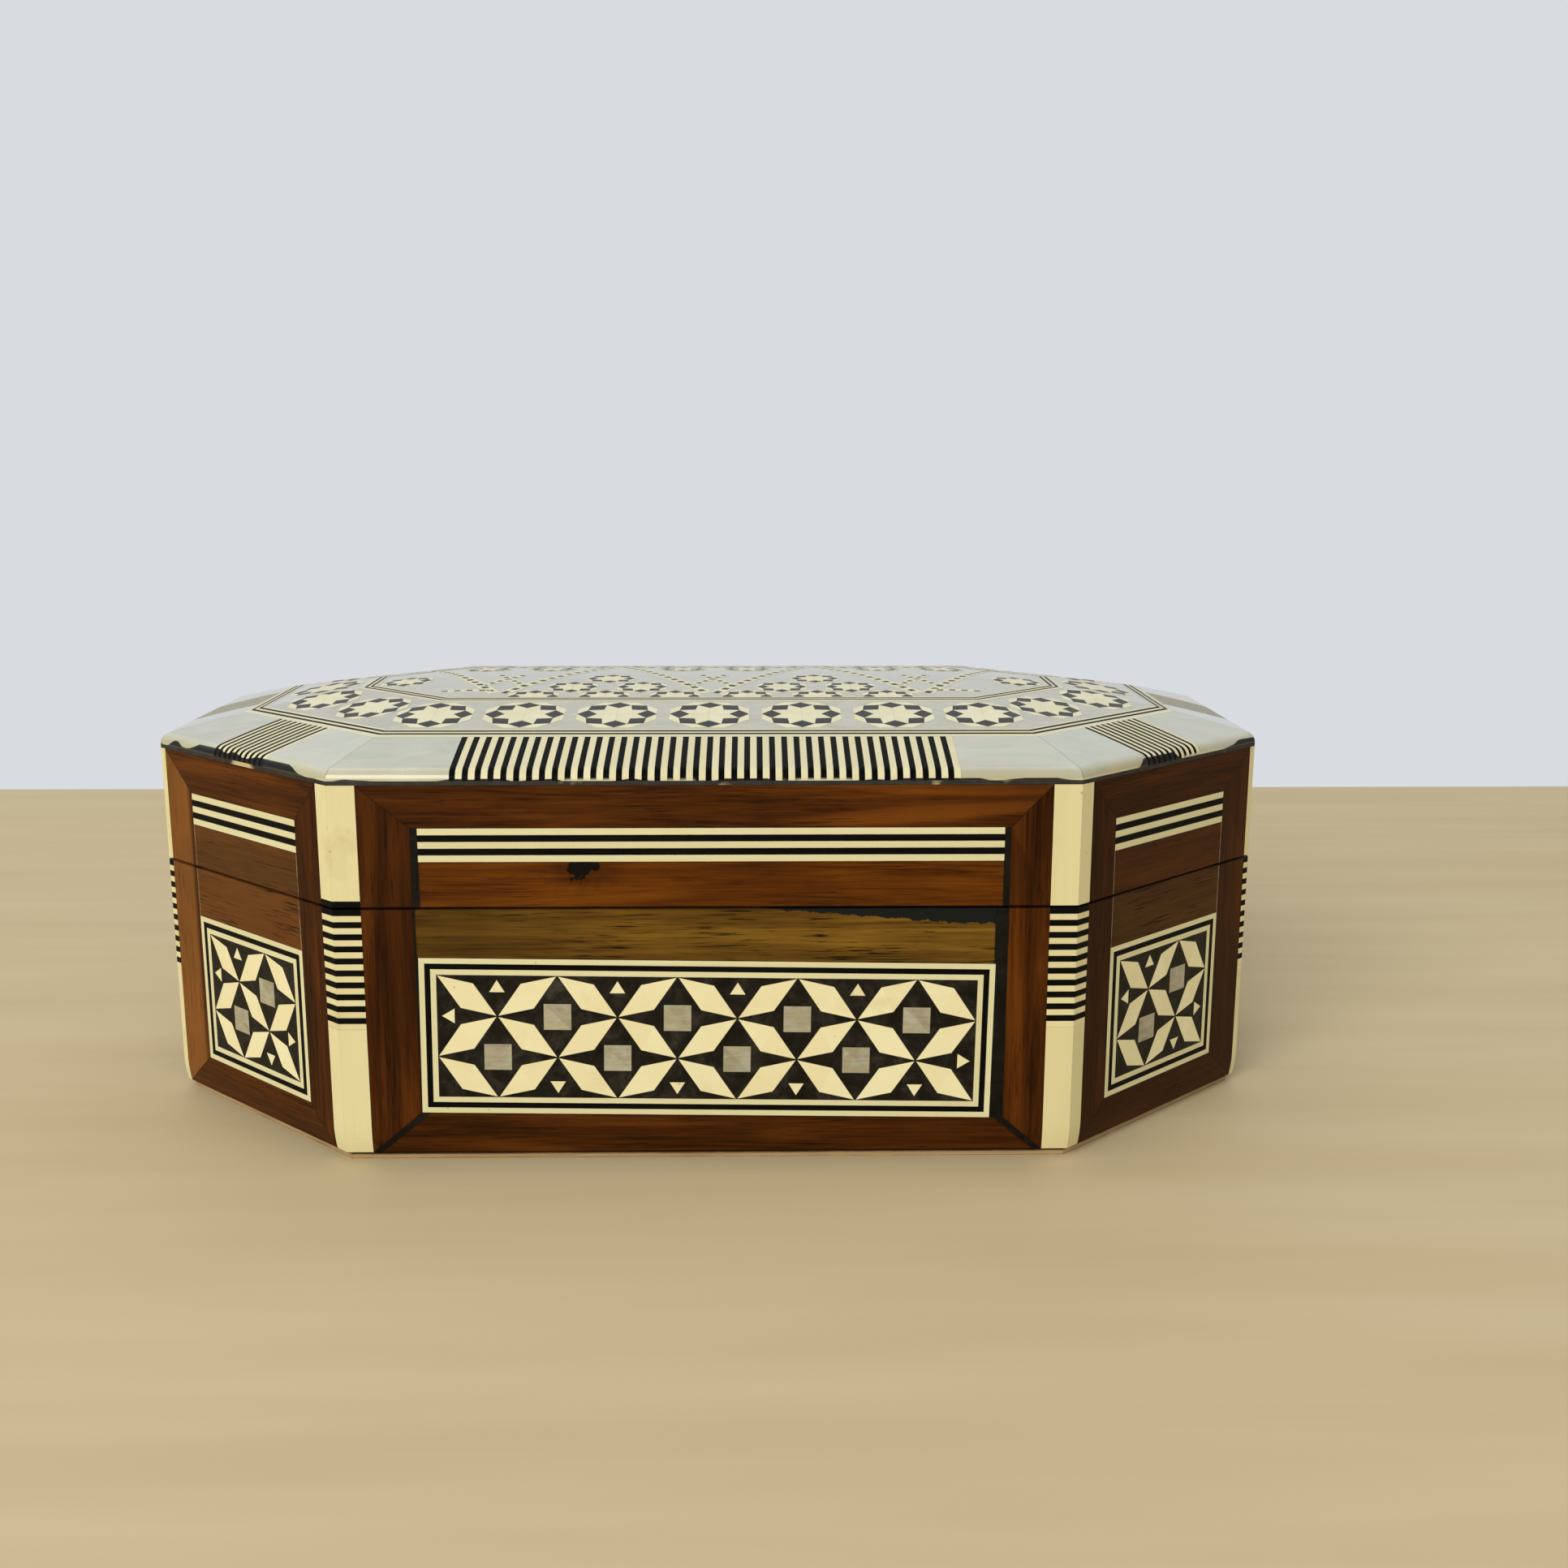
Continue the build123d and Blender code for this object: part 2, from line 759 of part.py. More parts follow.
def knuckle_room(x, first):
    """Notches that keep a leaf's plate clear of the other leaf's knuckles."""
    width = hinge_length / 3
    reach = 2 * (knuckle_radius + knuckle_gap)
    with BuildPart() as notches:
        for i in range(first, 3, 2):
            with BuildSketch(Plane.YZ.offset(x - hinge_length / 2 + i * width - knuckle_gap / 2)):
                with Locations((axis_y, seam_height)):
                    Rectangle(reach, reach)
            extrude(amount=width + knuckle_gap)
    return notches.part


def hinge_leaf(x, side, first, bore):
    """One leaf of a hinge: a plate in its seat, joined to its own knuckles and clear of the others."""
    rim = seam_height + side * seam_gap / 2
    with BuildPart() as leaf:
        with BuildSketch(Plane.XY.offset(rim)):
            with Locations((x, axis_y - leaf_width / 2)):
                Rectangle(hinge_length, leaf_width)
        extrude(amount=side * leaf_thickness)
        add(knuckles(x, first))
        add(knuckle_room(x, 1 - first), mode=Mode.SUBTRACT)
        with BuildSketch(Plane.YZ.offset(x - hinge_length)):
            with Locations((axis_y, seam_height)):
                Circle(bore)
        extrude(amount=2 * hinge_length, mode=Mode.SUBTRACT)
    return leaf.part


def hinges():
    """Two brass butt hinges: the base leaf holds the pin, and the lid leaf turns on it."""
    for name, x in zip(("left", "right"), hinge_places):
        finish(hinge_leaf(x, -1, 0, pin_radius), f"hinge_base_leaf_{name}")
        finish(hinge_leaf(x, 1, 1, pin_radius + pin_clearance), f"hinge_lid_leaf_{name}")
        with BuildPart() as pin:
            with BuildSketch(Plane.YZ.offset(x - hinge_length / 2 + knuckle_gap / 2)):
                with Locations((axis_y, seam_height)):
                    Circle(pin_radius)
            extrude(amount=hinge_length - knuckle_gap)
        finish(pin.part, f"hinge_pin_{name}")


os.makedirs("parts", exist_ok=True)
base_bottom_board()
base_floor()
walls()
base_frames()
lid_frames()
base_top_strips()
lid_lower_strips()
fillers()
finish(corner_strips(skin_bottom, base_top, base_groove), "base_corner_strips")
finish(corner_strips(lid_bottom, mastic_bottom, lid_groove), "lid_corner_strips")
panels()
lid_stringing()
lid_top()
linings()
hinges()
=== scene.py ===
import json
import math

import bmesh
import bpy
from mathutils import Matrix, Vector


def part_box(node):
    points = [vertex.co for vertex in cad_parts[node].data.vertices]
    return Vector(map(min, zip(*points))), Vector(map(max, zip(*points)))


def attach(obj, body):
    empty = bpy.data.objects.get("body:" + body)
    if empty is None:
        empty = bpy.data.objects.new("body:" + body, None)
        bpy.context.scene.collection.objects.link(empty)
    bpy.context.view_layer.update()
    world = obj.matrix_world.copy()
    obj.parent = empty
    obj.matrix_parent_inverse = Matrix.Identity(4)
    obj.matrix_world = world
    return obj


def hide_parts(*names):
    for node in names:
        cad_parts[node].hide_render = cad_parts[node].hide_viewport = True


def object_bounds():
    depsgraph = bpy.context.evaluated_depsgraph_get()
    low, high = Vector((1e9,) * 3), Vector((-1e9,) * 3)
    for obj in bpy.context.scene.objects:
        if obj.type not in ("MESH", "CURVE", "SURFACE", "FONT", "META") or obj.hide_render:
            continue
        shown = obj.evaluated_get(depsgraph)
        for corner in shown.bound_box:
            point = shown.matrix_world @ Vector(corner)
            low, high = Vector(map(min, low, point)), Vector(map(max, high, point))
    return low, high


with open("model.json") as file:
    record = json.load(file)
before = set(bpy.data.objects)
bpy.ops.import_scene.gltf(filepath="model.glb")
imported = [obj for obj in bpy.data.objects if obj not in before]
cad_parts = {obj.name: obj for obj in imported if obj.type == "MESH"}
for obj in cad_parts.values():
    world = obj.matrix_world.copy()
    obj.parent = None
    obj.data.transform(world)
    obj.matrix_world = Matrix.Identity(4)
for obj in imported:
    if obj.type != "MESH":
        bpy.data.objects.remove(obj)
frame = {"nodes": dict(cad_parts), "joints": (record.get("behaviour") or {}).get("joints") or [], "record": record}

cad_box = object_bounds()
nodes = frame["nodes"]

MM = 0.001

# Sizes of the box, read from the frame

ON_FACE = 0.1 * MM
box_low, box_high = cad_box
LENGTH_HALF = box_high.x
DEPTH_HALF = box_high.y
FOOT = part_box("base_corner_strips")[0].z
BASE_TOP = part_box("base_corner_strips")[1].z
LID_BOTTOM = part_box("lid_corner_strips")[0].z
MASTIC_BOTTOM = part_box("lid_mastic_line")[0].z
SIDE_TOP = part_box("lid_mastic_line")[1].z
AXIS_Y, SEAM = frame["joints"][0]["pos_m"][1:]
mastic_points = [v.co for v in nodes["lid_mastic_line"].data.vertices]
FRONT_HALF = max(p.x for p in mastic_points if p.y < box_low.y + ON_FACE)
END_HALF = max(p.y for p in mastic_points if p.x > box_high.x - ON_FACE)

# Sizes repeated from the CAD source: the skin, the rounded rim and the crown's rings from the rim inwards

SKIN = 1.2 * MM
EDGE_ROUND = 2.0 * MM
BORDER = 13.5 * MM
OUTER_LINES = 3.5 * MM
STAR_BAND = 15.5 * MM
INNER_LINES = 3.0 * MM
OUTER_LINES_AT = BORDER
STAR_BAND_AT = OUTER_LINES_AT + OUTER_LINES
INNER_LINES_AT = STAR_BAND_AT + STAR_BAND
FIELD_AT = INNER_LINES_AT + INNER_LINES

# The crown's arc, which spans the depth between the rounded rims

CROWN_RISE = box_high.z - SIDE_TOP
CROWN_RUN = DEPTH_HALF - EDGE_ROUND
CROWN_RADIUS = (CROWN_RUN**2 + CROWN_RISE**2 - EDGE_ROUND**2) / (2 * (CROWN_RISE - EDGE_ROUND))
CROWN_CENTRE = SIDE_TOP + CROWN_RISE - CROWN_RADIUS
RIM_END = EDGE_ROUND * (1 - math.cos(math.atan2(SIDE_TOP - CROWN_CENTRE, CROWN_RUN)))

OUTLINE = [
    Vector((-FRONT_HALF, -DEPTH_HALF)),
    Vector((FRONT_HALF, -DEPTH_HALF)),
    Vector((LENGTH_HALF, -END_HALF)),
    Vector((LENGTH_HALF, END_HALF)),
    Vector((FRONT_HALF, DEPTH_HALF)),
    Vector((-FRONT_HALF, DEPTH_HALF)),
    Vector((-LENGTH_HALF, END_HALF)),
    Vector((-LENGTH_HALF, -END_HALF)),
]
SIDE_NAMES = ["front", "front_right", "right", "rear_right", "rear", "rear_left", "left", "front_left"]
LONG_SIDES = ("front", "rear")
ENDS = ("left", "right")


class Side:
    """One of the eight sides in plan: its direction, its outward normal and its middle."""

    def __init__(self, index):
        start, end = OUTLINE[index], OUTLINE[(index + 1) % 8]
        self.index = index
        self.name = SIDE_NAMES[index]
        self.along = (end - start) / (end - start).length
        self.out = Vector((self.along.y, -self.along.x))
        self.middle = (start + end) / 2

    def inset(self, point):
        """How far in from the side a plan point lies."""
        return (self.middle - point).dot(self.out)

    def at(self, along, inward):
        """The plan point that lies along from the side's middle and inward from the side."""
        return self.middle + self.along * along - self.out * inward


SIDES = [Side(i) for i in range(8)]
CREASES = [(OUTLINE[i], (SIDES[i - 1].out - SIDES[i].out).normalized()) for i in range(8)]


def inset_of(point):
    """How far in from the outline a plan point lies."""
    return min(side.inset(point) for side in SIDES)


def crown_height(inward):
    """Height of the lid's surface at a distance in from the outline."""
    inward = min(max(inward, 0.0), DEPTH_HALF)
    if inward < RIM_END:
        return SIDE_TOP + math.sqrt(max(EDGE_ROUND**2 - (EDGE_ROUND - inward) ** 2, 0.0))
    return CROWN_CENTRE + math.sqrt(CROWN_RADIUS**2 - (DEPTH_HALF - inward) ** 2)


def corner(index, inward):
    """Corner of the outline, moved in so that both its sides move in by the same distance."""
    before, after = SIDES[(index - 1) % 8], SIDES[index % 8]
    both = before.out + after.out
    return OUTLINE[index % 8] - both * (inward / (1 + before.out.dot(after.out)))


# Node materials

# Spans in x of the right chamfer, the left chamfer and a strip at the left end, where the veneers get painted
# shade on the right and painted light on the left; the right span, taken on both sides, also places the glue.
ON_RIGHT = (FRONT_HALF - 3 * MM, FRONT_HALF)
ON_LEFT = (3 * MM - FRONT_HALF, -FRONT_HALF)
AT_LEFT_END = (-92.4 * MM, -93.2 * MM)
ON_FRONT = (3 * MM - DEPTH_HALF, 2 * MM - DEPTH_HALF)
KNOT = (-20.2 * MM, -DEPTH_HALF, 51.0 * MM)
WEDGE_TIP, WEDGE_END, WEDGE_HEIGHT = 8 * MM, 42 * MM, 2.6 * MM
GLUE = (206, 192, 150)
RIM_GLUE = (214, 206, 172)
MASTIC_GLUE = (196, 178, 128)
WEDGE_FILLER = (26, 28, 26)
RIM_FILLER = (20, 20, 22)
KNOT_CORE = (16, 12, 9)
EBONY_TONES = ((0.35, (18, 17, 16)), (0.62, (32, 31, 29)), (0.8, (56, 53, 47)))
RESIN_TONES = ((0.32, (12, 10, 5)), (0.5, (27, 24, 17)), (0.66, (46, 42, 33)), (0.8, (70, 66, 55)))


def tone(red, green, blue):
    """An sRGB colour of 0 to 255 as a linear one."""
    channels = []
    for value in (red, green, blue):
        c = value / 255
        channels.append(c / 12.92 if c <= 0.04045 else ((c + 0.055) / 1.055) ** 2.4)
    return (*channels, 1.0)


class Nodes:
    """Shorthand for making the nodes of one tree."""

    def __init__(self, tree):
        self.tree = tree

    def node(self, kind, **values):
        """A new node with the given properties."""
        made = self.tree.nodes.new(kind)
        for key, value in values.items():
            setattr(made, key, value)
        return made

    def feed(self, socket, value):
        """Gives an input a plain value, or the output of another node."""
        if isinstance(value, (float, int, tuple)):
            socket.default_value = value
        else:
            self.tree.links.new(value, socket)

    def remap(self, source, from_low=0.0, from_high=1.0, to_low=0.0, to_high=1.0):
        """The source held between two values, then stretched to two others."""
        made = self.node("ShaderNodeMapRange")
        made.inputs["From Min"].default_value = from_low
        made.inputs["From Max"].default_value = from_high
        made.inputs["To Min"].default_value = to_low
        made.inputs["To Max"].default_value = to_high
        self.feed(made.inputs["Value"], source)
        return made.outputs["Result"]

    def mix(self, factor, first, second):
        """A colour that goes from the first to the second as the factor goes from 0 to 1."""
        made = self.node("ShaderNodeMix", data_type="RGBA")
        for value, index in ((factor, 0), (first, 6), (second, 7)):
            self.feed(made.inputs[index], value)
        return made.outputs[2]

    def maths(self, operation, first, second=0.0):
        """The result of a sum on one or two values."""
        made = self.node("ShaderNodeMath", operation=operation)
        self.feed(made.inputs[0], first)
        self.feed(made.inputs[1], second)
        return made.outputs[0]

    def times(self, first, second):
        """The product of two values."""
        return self.maths("MULTIPLY", first, second)

    def minus(self, first, second):
        """The first value less the second."""
        return self.maths("SUBTRACT", first, second)

    def vector_maths(self, operation, first, second=(0, 0, 0)):
        """The result of a sum on one or two vectors: a value for dot products and distances."""
        made = self.node("ShaderNodeVectorMath", operation=operation)
        self.feed(made.inputs[0], first)
        self.feed(made.inputs[1], second)
        return made.outputs["Value" if operation in ("DOT_PRODUCT", "DISTANCE") else "Vector"]

    def part(self, vector, axis):
        """One of a vector's three numbers."""
        parts = self.node("ShaderNodeSeparateXYZ")
        self.feed(parts.inputs[0], vector)
        return parts.outputs[axis]


class Finish(Nodes):
    """A node material round one Principled shader."""

    def __init__(self, name, roughness=0.4, coat=0.0, coat_roughness=0.08, metallic=0.0, specular=0.5):
        self.material = bpy.data.materials.new(name)
        self.material.use_nodes = True
        super().__init__(self.material.node_tree)
        self.shader = self.tree.nodes["Principled BSDF"]
        self.shader.inputs["Roughness"].default_value = roughness
        self.shader.inputs["Coat Weight"].default_value = coat
        self.shader.inputs["Coat Roughness"].default_value = coat_roughness
        self.shader.inputs["Metallic"].default_value = metallic
        self.shader.inputs["Specular IOR Level"].default_value = specular
        self.space = self.node("ShaderNodeTexCoord").outputs["Object"]

    def place(self, axis):
        """The object coordinate along an axis, in metres."""
        return self.part(self.space, axis)

    def stretch(self, scale, turn=(0, 0, 0)):
        """Object coordinates, turned and scaled, so that a noise runs along one direction."""
        mapping = self.node("ShaderNodeMapping")
        mapping.inputs["Scale"].default_value = scale
        mapping.inputs["Rotation"].default_value = turn
        self.feed(mapping.inputs["Vector"], self.space)
        return mapping.outputs["Vector"]

    def noise(self, scale, detail=4.0, vector=None, rough=0.55, distortion=0.0):
        """Noise in object coordinates, or in those given."""
        made = self.node("ShaderNodeTexNoise")
        made.inputs["Scale"].default_value = scale
        made.inputs["Detail"].default_value = detail
        made.inputs["Roughness"].default_value = rough
        made.inputs["Distortion"].default_value = distortion
        self.feed(made.inputs["Vector"], vector or self.space)
        return made.outputs["Fac"]

    def island(self):
        """A random value that stays the same over each separate tile."""
        return self.node("ShaderNodeNewGeometry").outputs["Random Per Island"]

    def steps(self, source, low, high):
        """A value from 0 to 1 as the source goes from low to high."""
        return self.remap(source, low, high)

    def ramp(self, source, *stops):
        """The source as a colour, by positions and sRGB tones."""
        made = self.node("ShaderNodeValToRGB")
        elements = made.color_ramp.elements
        while len(elements) < len(stops):
            elements.new(0.5)
        for element, (position, colour) in zip(elements, stops):
            element.position = position
            element.color = tone(*colour)
        self.feed(made.inputs["Fac"], source)
        return made.outputs["Color"]

    def paint(self, factor, source, colour):
        """The source, painted over in an sRGB tone where the factor is high."""
        return self.mix(factor, source, tone(*colour))

    def edge_grime_and_shade(self, source, radius, colour, amount, glued=False):
        """Draws a dark line along every edge, painted shade where the pieces meet, with grime; if glued, cream
        glue on upright edges off the long sides.
        """
        bevel = self.node("ShaderNodeBevel", samples=4)
        bevel.inputs["Radius"].default_value = radius
        rounded = bevel.outputs["Normal"]
        flat = self.node("ShaderNodeNewGeometry").outputs["Normal"]
        # Mask of the painted edge shade: where the rounded normal turns away from the flat one.
        edge_shade_mask = self.steps(self.vector_maths("DOT_PRODUCT", rounded, flat), 0.99, 0.8)
        uneven = self.steps(self.noise(300.0, 3.0), 0.2, 0.52)
        line = tone(*colour)
        if glued:
            upright = self.steps(self.maths("ABSOLUTE", self.part(rounded, "Z")), 0.3, 0.1)
            off_long_sides = self.steps(self.maths("ABSOLUTE", self.place("X")), *ON_RIGHT)
            line = self.paint(self.times(upright, off_long_sides), line, GLUE)
        return self.mix(self.times(self.times(edge_shade_mask, uneven), amount), source, line)

    def crease_lines(self, source, colour):
        """Thin joint lines where the lid's plates are mitred, drawn alike in its four quarters."""
        folded = self.vector_maths("ABSOLUTE", self.space)
        for place, normal in (CREASES[4], CREASES[3]):
            reach = self.vector_maths("DOT_PRODUCT", folded, (normal.x, normal.y, 0))
            away = self.maths("ABSOLUTE", self.minus(reach, place.dot(normal)))
            line = self.times(self.steps(away, 0.12 * MM, 0.04 * MM), 0.6)
            source = self.paint(line, source, colour)
        return source

    def filled_wedge(self, source):
        """Dark filler along the top of the front strip: a ragged wedge that grows from its tip to its end."""
        grown = self.remap(self.place("X"), WEDGE_TIP, WEDGE_END, to_high=WEDGE_HEIGHT)
        ragged = self.times(self.minus(self.noise(700.0, 4.0), 0.5), 1.6 * MM)
        depth = self.minus(BASE_TOP, self.place("Z"))
        inside = self.minus(self.maths("ADD", grown, ragged), depth)
        begun = self.steps(self.place("X"), WEDGE_TIP, WEDGE_TIP + 3 * MM)
        filled = self.times(self.steps(inside, 0.0, 0.15 * MM), begun)
        return self.paint(self.times(filled, self.steps(self.place("Y"), *ON_FRONT)), source, WEDGE_FILLER)

    def knotted(self, source, dark):
        """A ragged black knot with a stained rim round it."""
        mapping = self.node("ShaderNodeMapping", vector_type="TEXTURE")
        mapping.inputs["Location"].default_value = KNOT
        mapping.inputs["Scale"].default_value = (1.0, 1.0, 0.6)
        self.feed(mapping.inputs["Vector"], self.space)
        away = self.vector_maths("DISTANCE", mapping.outputs["Vector"])
        ragged = self.maths("ADD", away, self.times(self.noise(620.0, 4.0), 7.0 * MM))
        stained = self.paint(self.times(self.steps(ragged, 11.0 * MM, 6.0 * MM), 0.6), source, dark)
        return self.paint(self.steps(ragged, 6.4 * MM, 6.0 * MM), stained, KNOT_CORE)

    def lumps(self, source):
        """Black filler squeezed up over the rim in lumps, with cream glue between them."""
        where = self.noise(70.0, 2.0, self.stretch((1.0, 1.0, 0.0)))
        rise = self.remap(where, 0.44, 0.56, -0.25 * MM, 1.25 * MM)
        to_ends = self.steps(self.maths("ABSOLUTE", self.place("X")), FRONT_HALF, FRONT_HALF + 6 * MM)
        share = self.maths("ADD", 0.35, self.times(to_ends, 0.75))
        lump_top = self.maths("ADD", SIDE_TOP, self.times(rise, share))
        below = self.steps(self.minus(lump_top, self.place("Z")), 0.0, 0.12 * MM)
        low_down = self.steps(self.place("Z"), SIDE_TOP + 0.5 * MM, SIDE_TOP)
        glue = self.times(self.steps(where, 0.47, 0.43), low_down)
        return self.paint(glue, self.paint(below, source, RIM_FILLER), RIM_GLUE)

    def colour(self, source):
        """Sets the shader's colour."""
        self.feed(self.shader.inputs["Base Color"], source)

    def rough(self, source, low, high):
        """Lets the shader's roughness follow the source from low to high."""
        self.feed(self.shader.inputs["Roughness"], self.remap(source, to_low=low, to_high=high))

    def bump(self, source, strength, distance):
        """Raises the surface where the source is high."""
        made = self.node("ShaderNodeBump")
        made.inputs["Strength"].default_value = strength
        made.inputs["Distance"].default_value = distance
        self.feed(made.inputs["Height"], source)
        self.feed(self.shader.inputs["Normal"], made.outputs["Normal"])


def shaded(tones, shade):
    """Ramp stops with their tones made darker by a share."""
    return [(at, tuple(c * shade for c in colour)) for at, colour in tones]


def wood(
    name, dark, middle, light,
    vertical=False, pores=0.6, slant=0.0, knot=False, wedge=False, painted_side_light=(), glued=False,
):
    """Varnished veneer whose grain runs along the side or, on stiles, upright; the tints along x are painted light
    and painted shade, lighter on the left and darker on the right.
    """
    f = Finish(name, roughness=0.38, coat=0.024, coat_roughness=0.2, specular=0.06)

    def along(slow, fast):
        """Coordinates that run slowly with the grain and fast across it."""
        return f.stretch((fast, fast, slow) if vertical else (slow, slow, fast), (0, slant, 0))

    figure = f.noise(1.0, 5.0, along(11.0, 190.0), 0.6, 1.1)
    fibre = f.noise(1.0, 3.0, along(70.0, 1900.0), 0.6, 0.3)
    broad = f.noise(30.0, 3.0)
    grain = f.ramp(figure, (0.36, dark), (0.5, middle), (0.64, light))
    lit_grain = f.paint(f.times(f.steps(fibre, 0.35, 0.7), 0.5), grain, light)
    colour = f.paint(f.times(f.island(), 0.35), lit_grain, dark)
    # Painted light and painted shade: each tint lightens the veneer over a span of x on the left or darkens it on
    # the right.
    for edge, beyond, painted_side_tone, amount in painted_side_light:
        colour = f.paint(f.times(f.steps(f.place("X"), edge, beyond), amount), colour, painted_side_tone)
    colour = f.paint(f.times(f.steps(broad, 0.45, 0.75), 0.5), colour, dark)
    fine = f.noise(1.0, 2.0, along(130.0, 3600.0), 0.6)
    clusters = f.steps(f.noise(90.0, 3.0), 0.38, 0.62)
    pore = f.times(f.steps(fine, 0.56, 0.64), clusters)
    colour = f.paint(f.times(pore, pores), colour, tuple(c * 0.28 for c in dark))
    if knot:
        colour = f.knotted(colour, dark)
    if wedge:
        colour = f.filled_wedge(colour)
    # Painted shade and grime along every edge of the veneer, nearly black.
    f.colour(f.edge_grime_and_shade(colour, 0.34 * MM, (12, 8, 6), 1.0, glued))
    f.rough(figure, 0.28, 0.5)
    f.bump(f.minus(fibre, f.times(pore, 0.9)), 0.2, 0.1 * MM)
    return f.material


def bone(name, base, deep, streaks=0.5, vertical=False, stain=0.55, lumpy=False):
    """Polished bone: warm cream with faint streaks, pores and a tone of its own on every tile."""
    f = Finish(name, roughness=0.36, coat=0.12, coat_roughness=0.15, specular=0.25)
    scale = (260.0, 260.0, 40.0) if vertical else (60.0, 60.0, 240.0)
    streak = f.noise(1.0, 4.0, f.stretch(scale), 0.6, 0.4)
    own = f.paint(f.times(f.island(), 0.5), tone(*base), deep)
    lined = f.paint(f.times(f.steps(streak, 0.45, 0.75), streaks), own, deep)
    specks = f.steps(f.noise(700.0, 2.0), 0.73, 0.78)
    spotted = f.paint(f.times(specks, stain), lined, (120, 88, 40))
    cloud = f.steps(f.noise(120.0, 3.0), 0.62, 0.8)
    clouded = f.paint(f.times(cloud, stain * 0.5), spotted, (176, 142, 82))
    if lumpy:
        clouded = f.lumps(clouded)
    # Painted shade and grime along every edge of the bone, in brown.
    f.colour(f.edge_grime_and_shade(clouded, 0.1 * MM, (88, 64, 34), 0.8))
    f.bump(streak, 0.12, 0.08 * MM)
    return f.material


def ebony(name, shade=0.4, gloss=0.05, lumpy=False):
    """Black stained wood with a little grey in its grain."""
    f = Finish(name, roughness=0.4, coat=gloss * 0.3, coat_roughness=0.15, specular=gloss)
    grain = f.noise(1.0, 4.0, f.stretch((70.0, 70.0, 400.0)), 0.6)
    colour = f.ramp(grain, *shaded(EBONY_TONES, shade))
    f.colour(f.lumps(colour) if lumpy else colour)
    f.bump(grain, 0.15, 0.06 * MM)
    return f.material


def resin(name, shade=1.0):
    """The dark ground between the tiles: charcoal resin, mottled, with dull and shiny places."""
    f = Finish(name, roughness=0.4, coat=0.04, coat_roughness=0.18, specular=0.12)
    cloud = f.noise(260.0, 5.0, None, 0.65, 0.6)
    fine = f.noise(1400.0, 3.0)
    base = f.ramp(cloud, *shaded(RESIN_TONES, shade))
    f.colour(f.paint(f.steps(fine, 0.6, 0.72), base, (10, 8, 5)))
    f.rough(cloud, 0.25, 0.6)
    f.bump(f.maths("ADD", cloud, f.times(fine, 0.4)), 0.35, 0.12 * MM)
    return f.material


def pearl(name, pale, middle, deep, spread=1.0, rim=False, coat=0.8):
    """Varnished mother of pearl: clouded, with faint pink and green in its depth."""
    f = Finish(name, roughness=0.3, coat=coat, coat_roughness=0.08, specular=0.5)
    wave = f.noise(70.0 * spread, 4.0, f.stretch((1.0, 2.2, 1.0), (0.3, 0.2, 0.6)), 0.55, 1.4)
    own = f.maths("ADD", f.times(f.island(), 0.35), f.times(wave, 0.8))
    base = f.ramp(own, (0.25, deep), (0.5, middle), (0.8, pale))
    banding = f.stretch((90.0 * spread, 90.0 * spread, 500.0 * spread), (0.4, 0.1, 0.2))
    bands = f.steps(f.noise(1.0, 3.0, banding, 0.5, 0.5), 0.45, 0.62)
    tinted = f.paint(f.times(bands, 0.16), base, (226, 196, 204))
    patches = f.steps(f.noise(150.0 * spread, 2.0), 0.5, 0.65)
    hued = f.paint(f.times(patches, 0.14), tinted, (176, 214, 200))
    if rim:
        edge = f.steps(f.place("Z"), SIDE_TOP + 2.2 * MM, SIDE_TOP + 0.2 * MM)
        amount = f.times(edge, f.steps(f.noise(45.0, 3.0), 0.3, 0.62))
        resined = f.paint(f.times(amount, 0.7), hued, (190, 176, 118))
        hued = f.lumps(f.crease_lines(resined, (120, 112, 84)))
    # Painted shade and grime along every edge of the pearl, in dull yellow-grey.
    f.colour(f.edge_grime_and_shade(hued, 0.1 * MM, (120, 108, 76), 0.6))
    f.rough(wave, 0.16, 0.34)
    f.bump(wave, 0.08, 0.1 * MM)
    return f.material


def mastic():
    """The black filler line under the rim, broken by cream glue."""
    f = Finish("mastic_mix", roughness=0.6, coat=0.15, coat_roughness=0.3)
    breaks = f.steps(f.noise(95.0, 3.0), 0.60, 0.66)
    rubbed = f.noise(500.0, 4.0)
    base = f.ramp(rubbed, (0.3, (14, 13, 12)), (0.6, (36, 33, 30)), (0.85, (70, 62, 50)))
    f.colour(f.paint(breaks, base, MASTIC_GLUE))
    f.bump(rubbed, 0.6, 0.15 * MM)
    return f.material


def velvet():
    """Dark red lining with a short pile."""
    f = Finish("velvet_pile", roughness=0.9, specular=0.2)
    pile = f.noise(1600.0, 3.0)
    crush = f.noise(40.0, 4.0, None, 0.6, 0.8)
    base = f.ramp(pile, (0.3, (70, 8, 16)), (0.7, (128, 20, 34)))
    f.colour(f.paint(f.times(f.steps(crush, 0.4, 0.7), 0.4), base, (56, 6, 14)))
    f.shader.inputs["Sheen Weight"].default_value = 0.8
    f.shader.inputs["Sheen Roughness"].default_value = 0.4
    f.shader.inputs["Sheen Tint"].default_value = tone(220, 120, 130)
    f.bump(pile, 0.6, 0.3 * MM)
    return f.material


def brass(name):
    """Hinge brass with a satin surface, darker where it has tarnished."""
    f = Finish(name, roughness=0.32, metallic=1.0)
    stain = f.noise(180.0, 4.0)
    f.colour(f.ramp(stain, (0.35, (122, 92, 44)), (0.6, (196, 156, 84)), (0.8, (214, 178, 104))))
    f.rough(stain, 0.25, 0.5)
    f.bump(f.noise(1.0, 2.0, f.stretch((30.0, 900.0, 900.0))), 0.1, 0.05 * MM)
    return f.material


